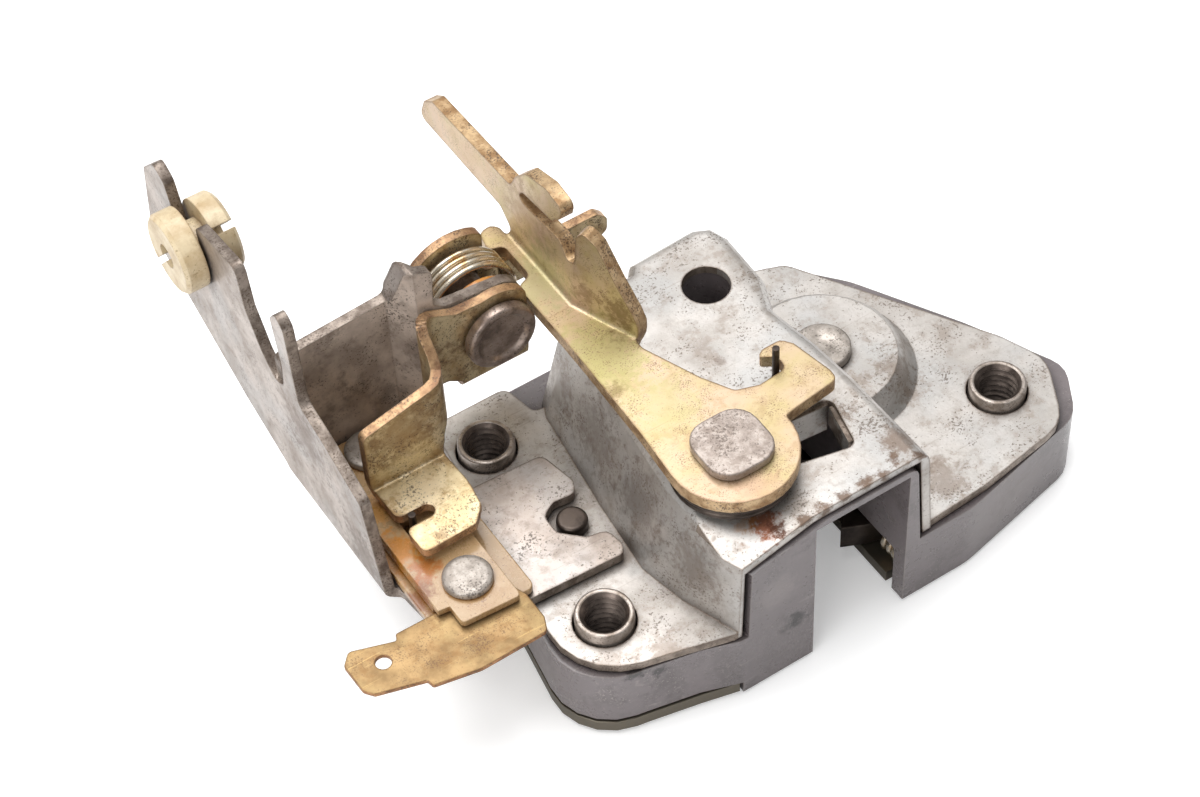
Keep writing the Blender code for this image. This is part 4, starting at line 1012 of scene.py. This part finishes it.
class TAILGATELOCK_OT_bushes(Operator):
    """Mounting bushes with their threads"""

    bl_idname = "tailgate_lock.bushes"
    bl_label = "Bushes"

    def execute(self, context):
        sizes = context.scene.tailgate_lock_sizes
        pitch = sizes.thread_pitch / MM
        for node, place in BUSHES.items():
            low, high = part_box(node)
            bottom, top = low.z / MM, high.z / MM
            profile = [
                (SPIGOT_RADIUS, bottom),
                (SPIGOT_RADIUS, SPIGOT_HEIGHT),
                (COLLAR_RADIUS, SPIGOT_HEIGHT),
                (COLLAR_RADIUS, top - 0.35),
                (COLLAR_RADIUS - 0.07, top - 0.12),
                (COLLAR_RADIUS - 0.25, top),
                (THREAD_ROOT + 0.12, top),
                (THREAD_ROOT - 0.02, top - 0.1),
                (THREAD_CREST + 0.06, top - THREAD_START),
            ]
            height = top - THREAD_START
            while height - pitch > bottom + 0.4:
                profile += [
                    (THREAD_ROOT, height - 0.4 * pitch),
                    (THREAD_ROOT, height - 0.55 * pitch),
                    (THREAD_CREST, height - 0.95 * pitch),
                    (THREAD_CREST, height - pitch),
                ]
                height -= pitch
            profile += [(THREAD_CREST + 0.16, bottom)]
            piece = turned_piece(f"{node}_surface", profile, place)
            shade(piece, 25.0)
            piece.data.materials.append(bright_steel())
            bore, lip = THREAD_ROOT + 0.06, top - 0.3
            x, y = place
            # The bore below its lip takes the dark thread finish: painted shade, where little light gets in
            paint(piece, painted_shade_thread_steel(), lambda p, n: math.hypot(p.x - x, p.y - y) < bore and p.z < lip)
            settle(piece, node)
        return {"FINISHED"}


class TAILGATELOCK_OT_latch(Operator):
    """Fork, pawl, fork rivet and fork spring"""

    bl_idname = "tailgate_lock.latch"
    bl_label = "Latch"

    def execute(self, context):
        sizes = context.scene.tailgate_lock_sizes
        dress("latch_fork", dark_steel(), sizes.latch_edge)
        dress("pawl", dark_steel(), sizes.latch_edge)
        _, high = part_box("fork_rivet")
        top = high.z / MM
        head, shank = FORK_RIVET_HEAD, FORK_RIVET_SHANK
        profile = [
            (AXIS_RING, 0.0),
            (FORK_RIVET_FOOT, 0.0),
            (shank, FORK_RIVET_FOOT - shank - 0.1),
            (shank, BOSS_TOP),
            (head - 0.15, BOSS_TOP),
            (head - 0.02, BOSS_TOP + 0.13),
            (head, BOSS_TOP + 0.33),
            (head - 0.04, top - 0.22),
            (head - 0.2, top - 0.06),
            (head - 0.5, top),
            (head - 2.0, top - 0.03),
            (head - 2.2, top - 0.12),
            (AXIS_RING, top - 0.14),
        ]
        rivet = turned_piece("fork_rivet_surface", profile, FORK_PIVOT)
        shade(rivet, 30.0)
        rivet.data.materials.append(rivet_steel())
        settle(rivet, "fork_rivet")
        dress("fork_spring", greased_wire(), 0.0, smooth=60.0)
        return {"FINISHED"}


class TAILGATELOCK_OT_release(Operator):
    """Release lever, its stud and the pawl spring"""

    bl_idname = "tailgate_lock.release"
    bl_label = "Release"

    def execute(self, context):
        sizes = context.scene.tailgate_lock_sizes
        lever = dress("release_lever", yellow_zinc(), sizes.lever_edge, segments=3)
        shear(lever, sheared_edge("yellow_zinc_sheared_edge", "#c0a47e", "#8c6c49"), LEVER_SHEET)
        dress("pawl_stud", stud_steel(), sizes.latch_edge, segments=3)
        low = HUMP_TOP + 0.5
        ring = coil(PAWL_PIVOT, PAWL_RING, low, low + PAWL_RING_RISE, PAWL_RING_TURNS, 2.0)
        first, last = ring[0], ring[-1]
        x, y = first.x + 0.2, first.y - 1.1
        down = [(x, y, PAWL_FOOT), (x, y, first.z - 0.3)]
        up = rounded_path([last, (*PAWL_END, last.z), (*PAWL_END, PAWL_END_TOP)], 2 * PAWL_WIRE)
        spring = wire_piece("pawl_spring_surface", [*down, *ring, *up[1:]], PAWL_WIRE)
        spring.data.materials.append(dark_steel())
        settle(spring, "pawl_spring")
        return {"FINISHED"}


class TAILGATELOCK_OT_carrier(Operator):
    """Switch carrier with the contact lever's pin and spring"""

    bl_idname = "tailgate_lock.carrier"
    bl_label = "Carrier"

    def execute(self, context):
        sizes = context.scene.tailgate_lock_sizes
        carrier = dress("carrier_bracket", carrier_steel(), sizes.bracket_edge)
        shear(carrier, sheared_edge("cold_rolled_sheared_edge", "#95897f", "#64584f"), BRACKET_SHEET)
        # The web's front face takes the same steel with painted shade and a painted reflection of the switch
        left, front, bottom = WEB_CORNER
        paint(
            carrier,
            painted_shade_steel(),
            lambda p, n: p.x > left and p.y > front and p.z > bottom and n.y < -0.5,
        )
        dress("locating_pin", dark_steel(), sizes.small_edge)
        dress("pivot_pin", pin_steel(), sizes.pin_edge)
        dress("pin_ring", pin_steel(), sizes.pin_edge)
        dress("spacer_bush", amber_nylon(), sizes.small_edge)
        low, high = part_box("return_spring")
        start, end = low.y / MM + RETURN_WIRE, high.y / MM - RETURN_WIRE
        ring = coil((0.0, 0.0), RETURN_RING, start, end, RETURN_TURNS, -120.0)
        points = [Vector((PIN_AXIS[0] + p.x, p.z, PIN_AXIS[1] + p.y)) for p in ring]
        spring = wire_piece("return_spring_surface", points, RETURN_WIRE)
        spring.data.materials.append(greased_wire())
        settle(spring, "return_spring")
        return {"FINISHED"}


class TAILGATELOCK_OT_contact(Operator):
    """Contact lever"""

    bl_idname = "tailgate_lock.contact"
    bl_label = "Contact lever"

    def execute(self, context):
        sizes = context.scene.tailgate_lock_sizes
        lever = dress("contact_lever", bronze_steel(), sizes.bracket_edge)
        shear(lever, sheared_edge("bronze_sheared_edge", "#bd9a74", "#85644a"), CONTACT_SHEET)
        return {"FINISHED"}


class TAILGATELOCK_OT_switch(Operator):
    """Switch body, terminal, contact and rivets"""

    bl_idname = "tailgate_lock.switch"
    bl_label = "Switch"

    def execute(self, context):
        sizes = context.scene.tailgate_lock_sizes
        dress("switch_base", tan_nylon(), sizes.small_edge)
        dress("switch_cover", tan_nylon(), sizes.moulded_edge, segments=3)
        terminal = dress("terminal", brass_strip(), sizes.terminal_edge)
        shear(terminal, sheared_edge("brass_sheared_edge", "#a1744c", "#734c2e"), TERMINAL_SHEET)
        dress("switch_contact", dark_steel(), 0.0)
        for node, place in SWITCH_RIVETS.items():
            low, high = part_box(node)
            bottom, top = low.z / MM, high.z / MM
            foot, shank, head = SWITCH_RIVET_FOOT, SWITCH_RIVET_SHANK, SWITCH_RIVET_HEAD
            seat = top - 1.0
            profile = [
                (AXIS_RING, bottom),
                (foot - 0.2, bottom),
                (foot, bottom + 0.2),
                (foot, bottom + 0.8),
                (shank, bottom + 0.8),
                (shank, seat),
                (head - 0.1, seat),
                (head, seat + 0.12),
                (head - 0.01, seat + 0.55),
                (head - 0.15, top - 0.22),
                (head - 0.5, top - 0.04),
                (head - 0.8, top),
                (head - 2.1, top - 0.03),
                (AXIS_RING, top - 0.04),
            ]
            rivet = turned_piece(f"{node}_surface", profile, place)
            shade(rivet, 30.0)
            rivet.data.materials.append(rivet_steel())
            settle(rivet, node)
        return {"FINISHED"}


class TAILGATELOCK_OT_clip(Operator):
    """Cable clip on the carrier's arm"""

    bl_idname = "tailgate_lock.clip"
    bl_label = "Clip"

    def execute(self, context):
        sizes = context.scene.tailgate_lock_sizes
        dress("cable_clip", ivory_nylon(), sizes.clip_edge, segments=3)
        return {"FINISHED"}


class TAILGATELOCK_PT_panel(Panel):
    """Lists the lock's pieces and their settings"""

    bl_idname = "TAILGATELOCK_PT_panel"
    bl_label = "Tailgate Lock"
    bl_space_type = "VIEW_3D"
    bl_region_type = "UI"
    bl_category = "Tailgate Lock"

    def draw(self, context):
        column = self.layout.column()
        for operator in OPERATORS:
            column.operator(operator.bl_idname)
        for group in (context.scene.tailgate_lock_sizes, context.scene.tailgate_lock_colours):
            for name in group.__annotations__:
                column.prop(group, name)


OPERATORS = (
    TAILGATELOCK_OT_stage,
    TAILGATELOCK_OT_body,
    TAILGATELOCK_OT_bushes,
    TAILGATELOCK_OT_latch,
    TAILGATELOCK_OT_release,
    TAILGATELOCK_OT_carrier,
    TAILGATELOCK_OT_contact,
    TAILGATELOCK_OT_switch,
    TAILGATELOCK_OT_clip,
)
CLASSES = (TailgateLockSizes, TailgateLockColours, *OPERATORS, TAILGATELOCK_PT_panel)


def register():
    for one in CLASSES:
        bpy.utils.register_class(one)
    bpy.types.Scene.tailgate_lock_sizes = PointerProperty(type=TailgateLockSizes)
    bpy.types.Scene.tailgate_lock_colours = PointerProperty(type=TailgateLockColours)


def unregister():
    del bpy.types.Scene.tailgate_lock_colours
    del bpy.types.Scene.tailgate_lock_sizes
    for one in reversed(CLASSES):
        bpy.utils.unregister_class(one)


def build():
    """Makes every piece in order."""
    register()
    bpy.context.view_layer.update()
    bpy.ops.tailgate_lock.stage()
    bpy.ops.tailgate_lock.body()
    bpy.ops.tailgate_lock.bushes()
    bpy.ops.tailgate_lock.latch()
    bpy.ops.tailgate_lock.release()
    bpy.ops.tailgate_lock.carrier()
    bpy.ops.tailgate_lock.contact()
    bpy.ops.tailgate_lock.switch()
    bpy.ops.tailgate_lock.clip()


if __name__ == "__main__":
    build()
